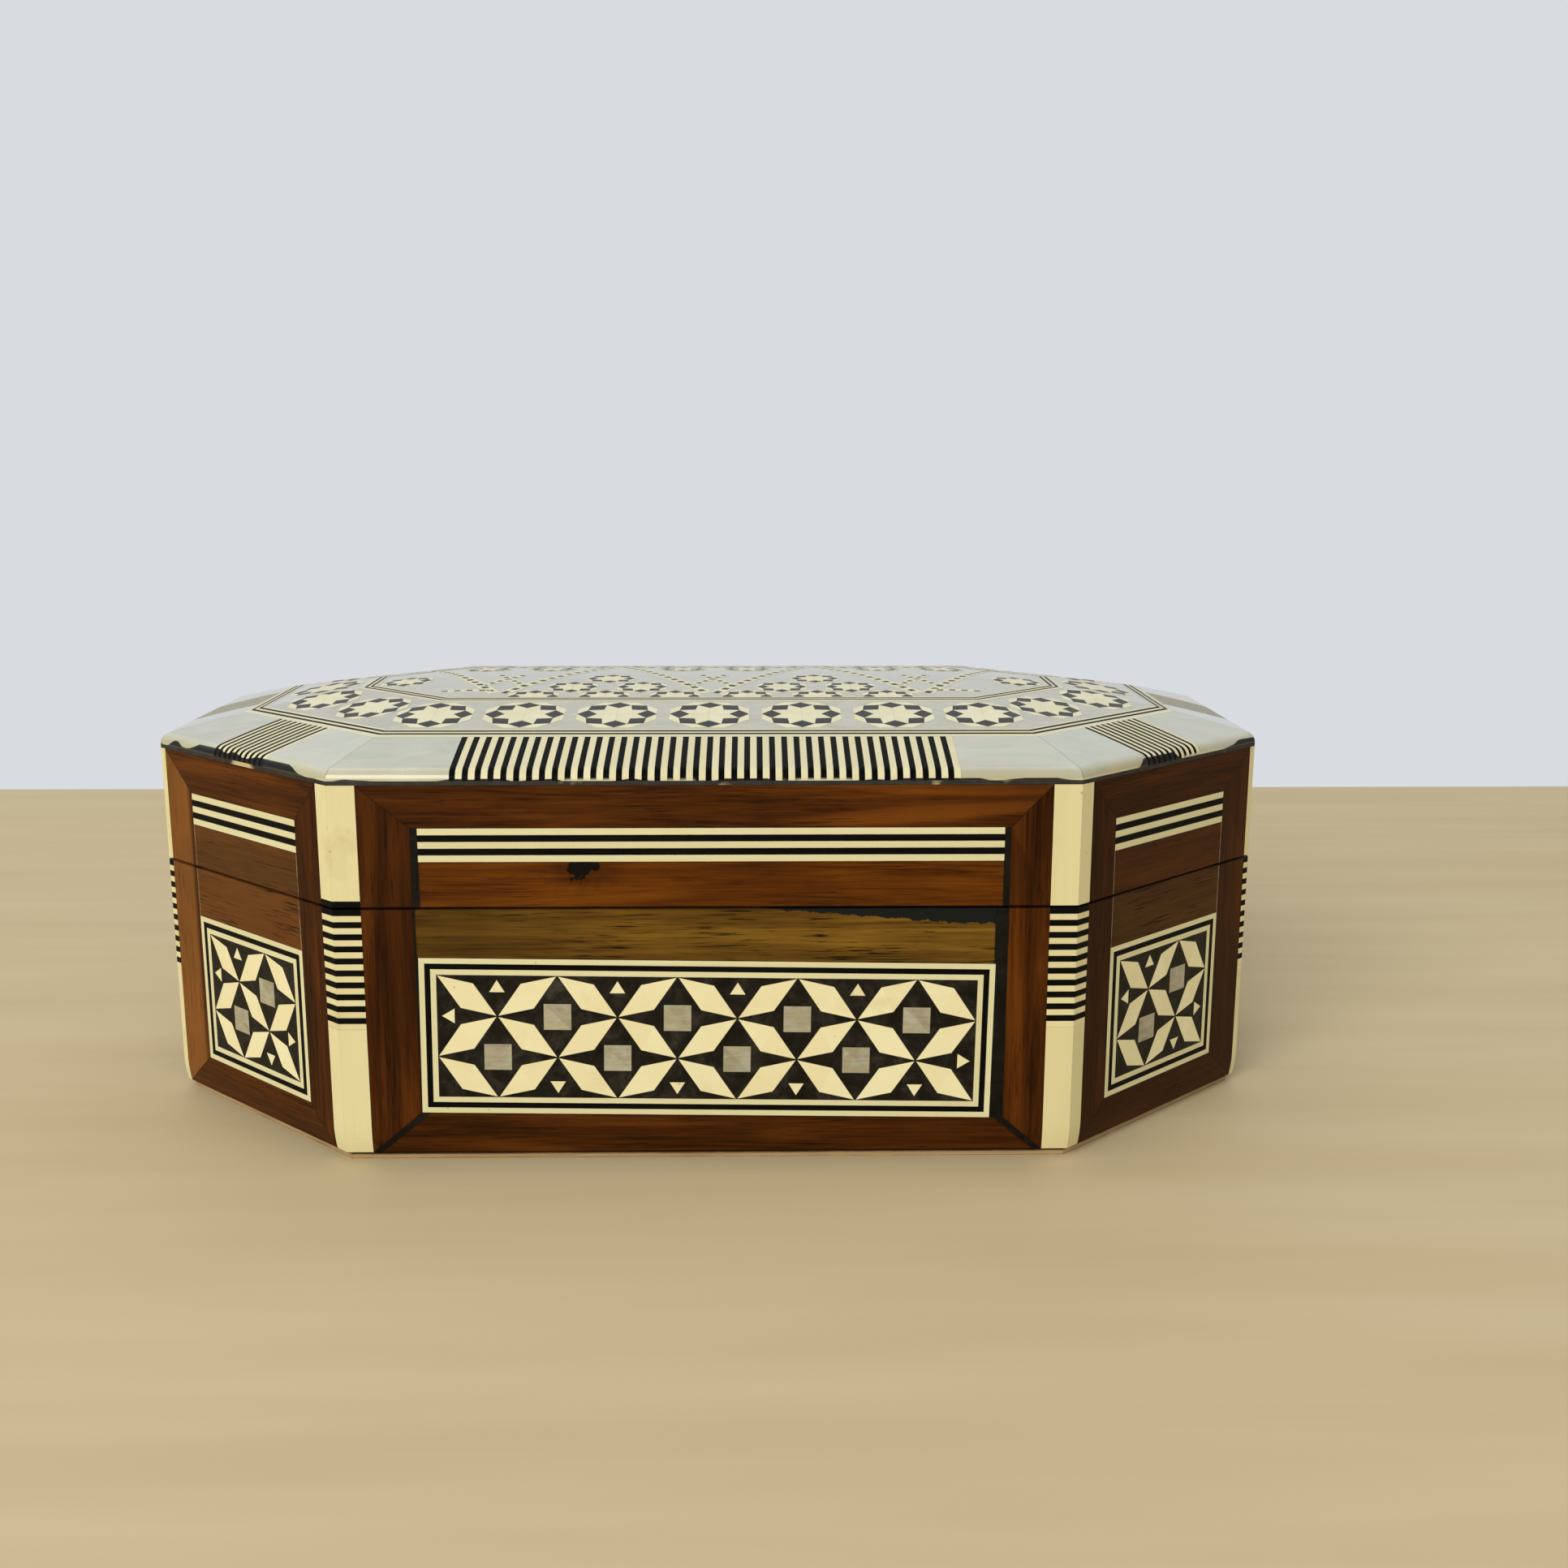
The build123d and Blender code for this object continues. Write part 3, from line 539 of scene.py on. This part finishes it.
FINISHES = {
    "carcass_wood": wood("carcass_stained", (34, 18, 8), (52, 28, 12), (70, 40, 18)),
    "board_wood": wood("board_raw", (150, 120, 82), (184, 154, 110), (204, 176, 132), pores=0.3),
    # The tints in x are painted light and painted shade: darker on the right chamfer, lighter on the left chamfer
    # and at the left end.
    "rail_wood": wood(
        "rail_veneer", (36, 16, 2), (70, 34, 4), (112, 61, 13), painted_side_light=[(*ON_RIGHT, (44, 24, 9), 0.6)]
    ),
    "stile_wood": wood(
        "stile_veneer", (34, 14, 2), (64, 30, 4), (106, 56, 10), vertical=True,
        painted_side_light=[(*ON_RIGHT, (48, 27, 9), 0.5), (*AT_LEFT_END, (140, 88, 38), 0.8)],
    ),
    "base_strip_wood": wood(
        "base_strip_veneer", (58, 37, 8), (102, 71, 19), (144, 106, 36), pores=1.0, slant=0.1, wedge=True,
        painted_side_light=[(*ON_RIGHT, (70, 42, 18), 0.85), (*ON_LEFT, (104, 60, 24), 0.85)], glued=True,
    ),
    "lid_strip_wood": wood(
        "lid_strip_veneer", (58, 26, 3), (98, 48, 3), (146, 84, 12), knot=True,
        painted_side_light=[(*ON_RIGHT, (58, 32, 13), 0.75), (*ON_LEFT, (84, 56, 26), 0.75)], glued=True,
    ),
    "corner_bone": bone("corner_strip_bone", (228, 219, 168), (214, 200, 146), vertical=True),
    "line_bone": bone("line_bone_pale", (224, 218, 172), (210, 202, 152), streaks=0.3, stain=0.4),
    "leaf_bone": bone("leaf_tile_bone", (240, 232, 186), (230, 216, 163)),
    "bar_bone": bone("bar_bone_pale", (226, 220, 180), (210, 202, 156), streaks=0.3, lumpy=True),
    "star_bone": bone("star_tile_bone", (234, 230, 196), (222, 216, 172), streaks=0.3, stain=0.3),
    "crown_bone": bone("crown_line_bone", (224, 220, 184), (210, 205, 164), streaks=0.3, stain=0.3),
    "line_ebony": ebony("line_ebony_black"),
    "crown_ebony": ebony("crown_ebony_black", shade=1.0, gloss=0.25),
    "bar_ebony": ebony("bar_ebony_black", gloss=0.03, lumpy=True),
    "bar_black": ebony("corner_bar_black"),
    "dark_ground": resin("ground_resin"),
    "gap_filler": resin("gap_filler_mix", 0.55),
    "grey_pearl": pearl(
        "square_pearl", (172, 166, 134), (156, 149, 118), (138, 131, 102), spread=3.0, coat=0.3
    ),
    "border_pearl": pearl("border_shell", (198, 201, 182), (184, 188, 169), (170, 174, 154), rim=True),
    "shell_ground": pearl("ground_shell", (188, 188, 166), (172, 170, 148), (152, 147, 127), spread=2.0),
    "mastic": mastic(),
    "lining_velvet": velvet(),
    "hinge_brass": brass("hinge_satin"),
    "pin_brass": brass("pin_satin"),
}
FINISHES["crown_stringing"] = FINISHES["crown_bone"]
FINISHES["striped_blocks"] = FINISHES["bar_bone"]
FINISHES["star_band"] = FINISHES["shell_ground"]
FINISHES["centre_field"] = FINISHES["shell_ground"]

for entry in frame["record"]["subparts"]:
    made = FINISHES[entry["material_slot"]]
    mesh = nodes[entry["node"]].data
    if mesh.materials:
        for i in range(len(mesh.materials)):
            mesh.materials[i] = made
    else:
        mesh.materials.append(made)


# Mesh tools


def add_piece(name, bm, finish, body, replaced=None):
    """Turns closed shells into a piece that rides on a body, and may stand for a CAD node."""
    bmesh.ops.recalc_face_normals(bm, faces=bm.faces)
    mesh = bpy.data.meshes.new(name)
    bm.to_mesh(mesh)
    bm.free()
    mesh.materials.append(FINISHES[finish])
    piece = bpy.data.objects.new(name, mesh)
    bpy.context.scene.collection.objects.link(piece)
    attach(piece, body)
    if replaced:
        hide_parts(replaced)


def bisect(bm, place, normal, **options):
    """Cuts every face that crosses a plane."""
    everything = bm.verts[:] + bm.edges[:] + bm.faces[:]
    bmesh.ops.bisect_plane(bm, geom=everything, plane_co=place, plane_no=normal, **options)


def loft(bm, rows):
    """Joins rings of vertices into the sides of a tube."""
    for a, b in zip(rows, rows[1:]):
        for m in range(len(a)):
            n = (m + 1) % len(a)
            bm.faces.new((a[m], a[n], b[n], b[m]))


# The lid's inlay: tiles cut in plan and laid on the crown. The offset keeps the cuts off the tiles' edges

CUT_STEP = 4.0 * MM
CUT_OFFSET = 0.37 * MM
TILE_THICK = 0.6 * MM
GROUND_SUNK = 0.03 * MM


def inlay(name, polygons, finish, sunk=0.0, replaced=None):
    """Lays flat outlines on the crown as thin tiles, their tops sunk a little below its surface."""
    bm = bmesh.new()
    for points in polygons:
        bm.faces.new([bm.verts.new((*p, 0)) for p in points])
    for place, normal in CREASES:
        bisect(bm, (*place, 0), (*normal, 0))
    for half, direction in ((LENGTH_HALF, Vector((1, 0, 0))), (DEPTH_HALF, Vector((0, 1, 0)))):
        for k in range(int(-half / CUT_STEP), int(half / CUT_STEP) + 1):
            bisect(bm, direction * (k * CUT_STEP + CUT_OFFSET), direction)
    for v in bm.verts:
        v.co.z = crown_height(inset_of(v.co.xy)) - sunk
    bmesh.ops.recalc_face_normals(bm, faces=bm.faces)
    for face in bm.faces:
        if face.normal.z < 0:
            face.normal_flip()
    grown = bmesh.ops.extrude_face_region(bm, geom=bm.faces[:], use_keep_orig=True)
    for v in [g for g in grown["geom"] if isinstance(g, bmesh.types.BMVert)]:
        v.co.z -= TILE_THICK
    add_piece(name, bm, finish, "lid", replaced)


def ring_band(first, last):
    """Eight mitred plan outlines of a ring between two distances in from the outline."""
    return [[corner(i, first), corner(i + 1, first), corner(i + 1, last), corner(i, last)] for i in range(8)]


# Stringing: widths of the five lines of each ring, outermost first, against each other

STRINGING_SHARES = (1.7, 0.95, 1.0, 0.95, 0.9)


def stringing(name, first, width):
    """Stringing on the crown: alternating bone and ebony lines, bone outermost."""
    pale, dark = [], []
    reached = first
    for i, share in enumerate(STRINGING_SHARES):
        step = width * share / sum(STRINGING_SHARES)
        (dark if i % 2 else pale).extend(ring_band(reached, reached + step))
        reached += step
    inlay(f"{name}_bone", pale, "crown_bone", replaced=f"lid_{name}")
    inlay(f"{name}_ebony", dark, "line_ebony")


# Striped blocks: half width and pairs of bars, on the long sides and on the others

LONG_BLOCK = (41.2 * MM, 40)
SHORT_BLOCK = (7.7 * MM, 10)
BLACK_SHARE = 0.47
RIM_STEPS = 7
BORDER_STEPS = 4
BAR_BACK = SKIN * 0.8
BAR_BEDDING = 0.02 * MM


def bars():
    """Striped blocks in the border: upright bars of bone and ebony, bent over the rounded rim."""
    insets = [EDGE_ROUND * (1 - math.cos(math.radians(90 * i / RIM_STEPS))) for i in range(RIM_STEPS)]
    insets += [EDGE_ROUND + (BORDER - EDGE_ROUND) * i / BORDER_STEPS for i in range(BORDER_STEPS + 1)]
    for finish, start, share in (("bar_ebony", 0, BLACK_SHARE), ("bar_bone", BLACK_SHARE, 1 - BLACK_SHARE)):
        bm = bmesh.new()
        for side in SIDES:
            half, pairs = LONG_BLOCK if side.name in LONG_SIDES else SHORT_BLOCK
            pitch = 2 * half / pairs
            for k in range(pairs):
                left = -half + k * pitch + start * pitch
                right = left + pitch * share
                rows = []
                for inward in insets:
                    top = crown_height(inward)
                    under = max(SIDE_TOP, top - SKIN) - BAR_BEDDING
                    back = max(inward, BAR_BACK)
                    upper = [(left, inward, top), (right, inward, top)]
                    lower = [(right, back, under), (left, back, under)]
                    rows.append([bm.verts.new((*side.at(x, inset), z)) for x, inset, z in upper + lower])
                loft(bm, rows)
                bm.faces.new(rows[0])
                bm.faces.new(rows[-1][::-1])
        add_piece(f"border_bars_{finish}", bm, finish, "lid", "lid_border_blocks")


# Rosettes: where the kites' notches, the star's points and the dark rhombs' tips lie, against the radius

NOTCH, POINT, TIP = 0.46, 0.75, 0.92


def rosette(centre, along, radius):
    """A star of eight kites, the dark rhombs between its points and the pale rhombs that round it off."""
    across = Vector((-along.y, along.x))

    def spot(eighths, reach):
        """The point at a turn in eighths and a share of the radius."""
        turn = eighths * math.pi / 4
        return centre + along * (math.cos(turn) * reach * radius) + across * (math.sin(turn) * reach * radius)

    pale, dark = [], []
    for k in range(8):
        pale.append([centre, spot(k, NOTCH), spot(k + 0.5, POINT), spot(k + 1, NOTCH)])
        pale.append([spot(k + 0.5, POINT), spot(k, TIP), spot(k + 0.5, 1.0), spot(k + 1, TIP)])
        dark.append([spot(k, NOTCH), spot(k + 0.5, POINT), spot(k, TIP), spot(k - 0.5, POINT)])
    return pale, dark


def gather(patterns):
    """The pale tiles and the dark tiles of several patterns."""
    pale, dark = [], []
    for more_pale, more_dark in patterns:
        pale += more_pale
        dark += more_dark
    return pale, dark


# Star band: places from the sides' middles or, on the corner sides, from the end by the front or rear

STAR_STEP, STAR_RADIUS = 16.1 * MM, 7.55 * MM
LAST_STAR_AT, LAST_STAR_RADIUS = 47.9 * MM, 7.3 * MM
END_STAR_RADIUS = 7.2 * MM
CORNER_STARS_AT, CORNER_STAR_RADIUS = (11.5 * MM, 26.3 * MM), 6.95 * MM


def star_row(side, length):
    """Place and radius of each star on a side, where the band's middle line has the given length."""
    if side.name in LONG_SIDES:
        row = [(k * STAR_STEP, STAR_RADIUS) for k in (-2, -1, 0, 1, 2)]
        return row + [(lean * LAST_STAR_AT, LAST_STAR_RADIUS) for lean in (-1, 1)]
    if side.name in ENDS:
        return [(0.0, END_STAR_RADIUS)]
    lean = 1 if side.name in ("front_left", "rear_right") else -1
    return [(lean * (length / 2 - at), CORNER_STAR_RADIUS) for at in CORNER_STARS_AT]


def star_places():
    """Centre, direction and radius of each star of the band."""
    mid = STAR_BAND_AT + STAR_BAND / 2
    for side in SIDES:
        start, end = corner(side.index, mid), corner(side.index + 1, mid)
        for along, radius in star_row(side, (end - start).length):
            yield (end + start) / 2 + side.along * along, side.along, radius


def star_band():
    """Eight-pointed stars in a ground of shell."""
    pale, dark = gather(rosette(*place) for place in star_places())
    ground = ring_band(STAR_BAND_AT, INNER_LINES_AT)
    inlay("star_band_shell", ground, "shell_ground", GROUND_SUNK, "lid_star_band")
    inlay("star_tiles_bone", pale, "star_bone")
    inlay("star_tiles_ebony", dark, "crown_ebony")


# Centre field: a zigzag of seven turns, the even ones in front. Legs and rosettes are placed by distances
# from a turn along x and from the long axis along y, and the short bands from the middle of the lid

FIELD_REACH = DEPTH_HALF - FIELD_AT
TURNS = range(-3, 4)
TURN_STEP = 19.35 * MM
BAND = 2.4 * MM
TURN_INSET = BAND * 0.6
TURN_GAP = 0.8
NARROW_BAND = BAND * 0.8
LEG_FEET = (3.9 * MM, -11.4 * MM)
LEG_TOPS = (2.2 * MM, 0.6 * MM)
SHORT_BAND_FROM, SHORT_BAND_TO, SHORT_BAND_Y = 49.5 * MM, 40.4 * MM, -15.2 * MM
RAIL_SHARE = 0.25
BLOCK_SHARE = 0.62
SMALL_RADIUS = 5.05 * MM
PAIR_AT = (6.4 * MM, 12.2 * MM)
SINGLE_AT = 3.6 * MM
EDGE_PAIR_AT = 12.8 * MM
EDGE_INSET = 0.5 * MM


def ladder(start, end, width):
    """A band of two pale lines with pale and dark blocks between them, from start to end."""
    along = (end - start).normalized()
    across = Vector((-along.y, along.x))
    length = (end - start).length
    rail = width * RAIL_SHARE
    half = width / 2

    def block(a, b, low, high):
        """A rectangle from a to b along the band and from low to high across it."""
        return [start + along * x + across * y for x, y in ((a, low), (b, low), (b, high), (a, high))]

    pale = [block(0, length, -half, -half + rail), block(0, length, half - rail, half)]
    dark = []
    count = max(2, round(length / (width * BLOCK_SHARE)))
    step = length / count
    for k in range(count):
        (pale if k % 2 else dark).append(block(k * step, (k + 1) * step, -half + rail, half - rail))
    return pale, dark


def cut(points):
    """The part of an outline that lies between the field's long edges."""
    for sign in (-1, 1):
        kept = []
        for a, b in zip(points, points[1:] + points[:1]):
            inside_a, inside_b = sign * a.y < FIELD_REACH, sign * b.y < FIELD_REACH
            if inside_a:
                kept.append(a)
            if inside_a != inside_b:
                kept.append(a.lerp(b, (sign * FIELD_REACH - a.y) / (b.y - a.y)))
        points = kept
        if len(points) < 3:
            return []
    return points


def field_ladders():
    """Start, end and width of each band: the zigzag, the legs behind its front turns, two short bands."""
    turn_y = FIELD_REACH - TURN_INSET
    turns = [Vector((k * TURN_STEP, turn_y if k % 2 else -turn_y)) for k in TURNS]
    for a, b in zip(turns, turns[1:]):
        gap = (b - a).normalized() * BAND * TURN_GAP
        yield a + gap, b - gap, BAND
    for k in (-2, 0, 2):
        x = k * TURN_STEP
        for lean in (-1, 1):
            foot = Vector((x - lean * LEG_FEET[0], LEG_FEET[1]))
            top = Vector((x + lean * LEG_TOPS[0], LEG_TOPS[1]))
            yield foot, top, NARROW_BAND
    for lean in (-1, 1):
        outer = Vector((lean * SHORT_BAND_FROM, SHORT_BAND_Y))
        inner = Vector((lean * SHORT_BAND_TO, SHORT_BAND_Y))
        yield outer, inner, NARROW_BAND


def field_spots():
    """Centres of the small rosettes in the zigzag's triangles and of those cut by the field's long edges."""
    edge_half = corner(1, FIELD_AT).x - SMALL_RADIUS
    for k in TURNS:
        x = k * TURN_STEP
        up = -1 if k % 2 else 1
        spots = [Vector((x + shift, up * PAIR_AT[1])) for shift in (-PAIR_AT[0], PAIR_AT[0])]
        if up < 0:
            spots.append(Vector((x, up * SINGLE_AT)))
        if abs(k) < 3:
            edge_y = up * (FIELD_REACH - EDGE_INSET)
            spots += [Vector((x + shift, edge_y)) for shift in (-EDGE_PAIR_AT, 0, EDGE_PAIR_AT)]
        for spot in spots:
            if abs(spot.y) > FIELD_REACH - SMALL_RADIUS:
                fits = abs(spot.x) <= edge_half
            else:
                fits = inset_of(spot) >= FIELD_AT + SMALL_RADIUS
            if fits:
                yield spot


def centre_field():
    """The middle of the lid: a zigzag of ladder bands with small rosettes in its triangles."""
    pale, dark = gather(ladder(*band) for band in field_ladders())
    stars, rhombs = gather(rosette(spot, Vector((1, 0)), SMALL_RADIUS) for spot in field_spots())
    pale += [tile for tile in map(cut, stars) if tile]
    dark += [tile for tile in map(cut, rhombs) if tile]
    ground = [[corner(i, FIELD_AT) for i in range(8)]]
    inlay("field_shell", ground, "shell_ground", GROUND_SUNK, "lid_centre_field")
    inlay("field_tiles_bone", pale, "star_bone")
    inlay("field_tiles_ebony", dark, "crown_ebony")


# Bone strips bent over the corners, with black bars let into the upper part of the base's. They reach further
# along the front, rear and ends than on the corner sides. The foot and groove repeat the CAD source

STRIP_WIDE = 4.6 * MM
STRIP_BY_FRONT = 3.0 * MM
STRIP_BY_END = 1.4 * MM
FOOT_ROUND_TOP = 6.3 * MM
FOOT_RADIUS = 21.96 * MM
FOOT_STEPS = 5
BAR_PAIRS = 10
BAR_PITCH = 1.03 * MM
GROOVE_SLOPE = math.tan(math.radians(51))
GROOVE_START = AXIS_Y - 0.12 * MM
FRONT_LEFT_CORNER = 0


def foot_inset(z):
    """How far the rounded foot lies in from the outline at height z."""
    drop = max(FOOT_ROUND_TOP - z, 0.0)
    return FOOT_RADIUS - math.sqrt(FOOT_RADIUS**2 - drop**2)


def strip_reach(side, other):
    """How far a strip reaches along a side from a corner; other is the side round that corner."""
    if side.name in LONG_SIDES + ENDS:
        return STRIP_WIDE
    return STRIP_BY_FRONT if other.name in LONG_SIDES else STRIP_BY_END


def strip_section(index, z):
    """Plan outline of the bent strip at a corner, moved in as far as the rounded foot does at height z."""
    before, after = SIDES[index - 1], SIDES[index]
    inward = foot_inset(z)
    start = OUTLINE[index] - before.along * strip_reach(before, after)
    end = OUTLINE[index] + after.along * strip_reach(after, before)
    return [
        start - before.out * inward,
        corner(index, inward),
        end - after.out * inward,
        end - after.out * (inward + SKIN),
        corner(index, inward + SKIN),
        start - before.out * (inward + SKIN),
    ]


def strip_pieces(body, runs, side):
    """Lofts each run of heights into a closed piece, less the rear groove; side is 1 on the lid."""
    for finish, wanted in runs.items():
        bm = bmesh.new()
        for index, levels in wanted:
            rows = [[bm.verts.new((*p, z)) for p in strip_section(index, z)] for z in levels]
            loft(bm, rows)
            for row in (rows[0], rows[-1]):
                bm.faces.new(row[0:2] + row[4:6])
                bm.faces.new(row[1:5])
        bisect(bm, (0, GROOVE_START, SEAM), (0, GROOVE_SLOPE, -side), clear_outer=True)
        bmesh.ops.holes_fill(bm, edges=[e for e in bm.edges if e.is_boundary])
        add_piece(f"{body}_corner_{finish}", bm, finish, body, f"{body}_corner_strips")


def corner_strips():
    """The strips of the base, with ten bars each, and of the lid, where one has a bar at its lower end."""
    plain_top = BASE_TOP - 2 * BAR_PAIRS * BAR_PITCH
    foot_levels = [FOOT + (FOOT_ROUND_TOP - FOOT) * k / FOOT_STEPS for k in range(FOOT_STEPS + 1)]
    base = {"corner_bone": [], "bar_black": []}
    lid = {"corner_bone": [], "bar_black": []}
    for index in range(8):
        base["corner_bone"].append((index, foot_levels + [plain_top]))
        for k in range(2 * BAR_PAIRS):
            levels = [plain_top + k * BAR_PITCH, plain_top + (k + 1) * BAR_PITCH]
            base["bar_black" if k % 2 else "corner_bone"].append((index, levels))
        low = LID_BOTTOM
        if index == FRONT_LEFT_CORNER:
            low += BAR_PITCH
            lid["bar_black"].append((index, [LID_BOTTOM, low]))
        lid["corner_bone"].append((index, [low, MASTIC_BOTTOM]))
    strip_pieces("base", base, -1)
    strip_pieces("lid", lid, 1)


stringing("outer_stringing", OUTER_LINES_AT, OUTER_LINES)
stringing("inner_stringing", INNER_LINES_AT, INNER_LINES)
bars()
star_band()
centre_field()
corner_strips()


# Stage: a pale floor that ends behind the box, as the photograph's table does

FLOOR_REACH = 2.5
FLOOR_BACK = 250 * MM

floor_mesh = bpy.data.meshes.new("floor")
bm = bmesh.new()
corners = (
    (-FLOOR_REACH, -FLOOR_REACH),
    (FLOOR_REACH, -FLOOR_REACH),
    (FLOOR_REACH, FLOOR_BACK),
    (-FLOOR_REACH, FLOOR_BACK),
)
bm.faces.new([bm.verts.new((x, y, 0)) for x, y in corners])
bm.to_mesh(floor_mesh)
bm.free()
floor = bpy.data.objects.new("floor", floor_mesh)
bpy.context.scene.collection.objects.link(floor)
floor_finish = Finish("floor_plain", roughness=0.6, specular=0.3)
floor_tone = floor_finish.noise(6.0, 3.0, floor_finish.stretch((1.0, 9.0, 1.0)))
floor_finish.colour(floor_finish.ramp(floor_tone, (0.3, (204, 185, 144)), (0.7, (212, 195, 156))))
floor_mesh.materials.append(floor_finish.material)

# World: a pale wall for the camera, soft light for the object, and for gloss a dark room with the wall behind

WALL = tone(216, 219, 224)
WALL_IN_GLOSS = tone(212, 215, 219)
ROOM_IN_GLOSS = (0.13, 0.13, 0.125, 1)
SOFT_LIGHT = (1.0, 0.985, 0.96, 1)
SOFT_STRENGTH = 0.5
WALL_FROM, WALL_FULL = 0.22, 0.5

world = bpy.data.worlds.new("studio")
bpy.context.scene.world = world
world.use_nodes = True
world.node_tree.nodes.clear()
sky = Nodes(world.node_tree)


def background(colour, strength=1.0):
    """Light of one colour from every direction, or of a colour that another node gives."""
    made = sky.node("ShaderNodeBackground")
    sky.feed(made.inputs["Color"], colour)
    sky.feed(made.inputs["Strength"], strength)
    return made.outputs[0]


def choose(factor, first, second):
    """The first shader, or the second for the rays where the factor is 1."""
    made = sky.node("ShaderNodeMixShader")
    for socket, value in zip(made.inputs, (factor, first, second)):
        sky.feed(socket, value)
    return made.outputs[0]


ray = sky.node("ShaderNodeLightPath").outputs
heading = sky.part(sky.node("ShaderNodeTexCoord").outputs["Generated"], "Y")
mirrored = sky.mix(sky.remap(heading, WALL_FROM, WALL_FULL), ROOM_IN_GLOSS, WALL_IN_GLOSS)
lighting = choose(ray["Is Glossy Ray"], background(SOFT_LIGHT, SOFT_STRENGTH), background(mirrored))
seen = sky.maths("MAXIMUM", ray["Is Camera Ray"], ray["Is Transmission Ray"])
sky.feed(sky.node("ShaderNodeOutputWorld").inputs[0], choose(seen, lighting, background(WALL)))


def area_lamp(name, place, target, size, power, colour=(1, 1, 1)):
    """A rectangular lamp that faces a point."""
    lamp = bpy.data.lights.new(name, "AREA")
    lamp.shape = "RECTANGLE"
    lamp.size, lamp.size_y = size
    lamp.energy = power
    lamp.color = colour
    holder = bpy.data.objects.new(name, lamp)
    bpy.context.scene.collection.objects.link(holder)
    holder.location = place
    holder.rotation_mode = "QUATERNION"
    holder.rotation_quaternion = (Vector(target) - Vector(place)).to_track_quat("-Z", "Y")


area_lamp("key", (-0.85, -1.55, 1.0), (0, 0, 0.03), (1.3, 1.2), 27.0, (1.0, 0.985, 0.95))
area_lamp("top", (0.0, 0.4, 1.6), (0, 0, 0.05), (1.6, 1.2), 4.0)

# Camera, fitted to the photograph

PHOTO_SIDE = 1932
FOCAL_PIXELS = 2040.7
SENSOR_WIDTH = 36.0
CAMERA_PLACE = Vector((7.86 * MM, -DEPTH_HALF - 261.3 * MM, 119.2 * MM))
CAMERA_PITCH = 0.2047
CAMERA_YAW = 0.0182
CAMERA_ROLL = 0.0019

camera_data = bpy.data.cameras.new("camera")
camera = bpy.data.objects.new("camera", camera_data)
bpy.context.scene.collection.objects.link(camera)
bpy.context.scene.camera = camera
camera_data.sensor_width = SENSOR_WIDTH
camera_data.lens = SENSOR_WIDTH * FOCAL_PIXELS / PHOTO_SIDE
camera_data.clip_start = 0.01
forward = Vector((
    math.sin(CAMERA_YAW) * math.cos(CAMERA_PITCH),
    math.cos(CAMERA_YAW) * math.cos(CAMERA_PITCH),
    -math.sin(CAMERA_PITCH),
))
right = Vector((math.cos(CAMERA_YAW), -math.sin(CAMERA_YAW), 0))
up = right.cross(forward)
rolled_right = right * math.cos(CAMERA_ROLL) + up * math.sin(CAMERA_ROLL)
rolled_up = up * math.cos(CAMERA_ROLL) - right * math.sin(CAMERA_ROLL)
camera.matrix_world = Matrix((
    (rolled_right.x, rolled_up.x, -forward.x, CAMERA_PLACE.x),
    (rolled_right.y, rolled_up.y, -forward.y, CAMERA_PLACE.y),
    (rolled_right.z, rolled_up.z, -forward.z, CAMERA_PLACE.z),
    (0, 0, 0, 1),
))

bpy.context.scene.view_settings.view_transform = "Standard"
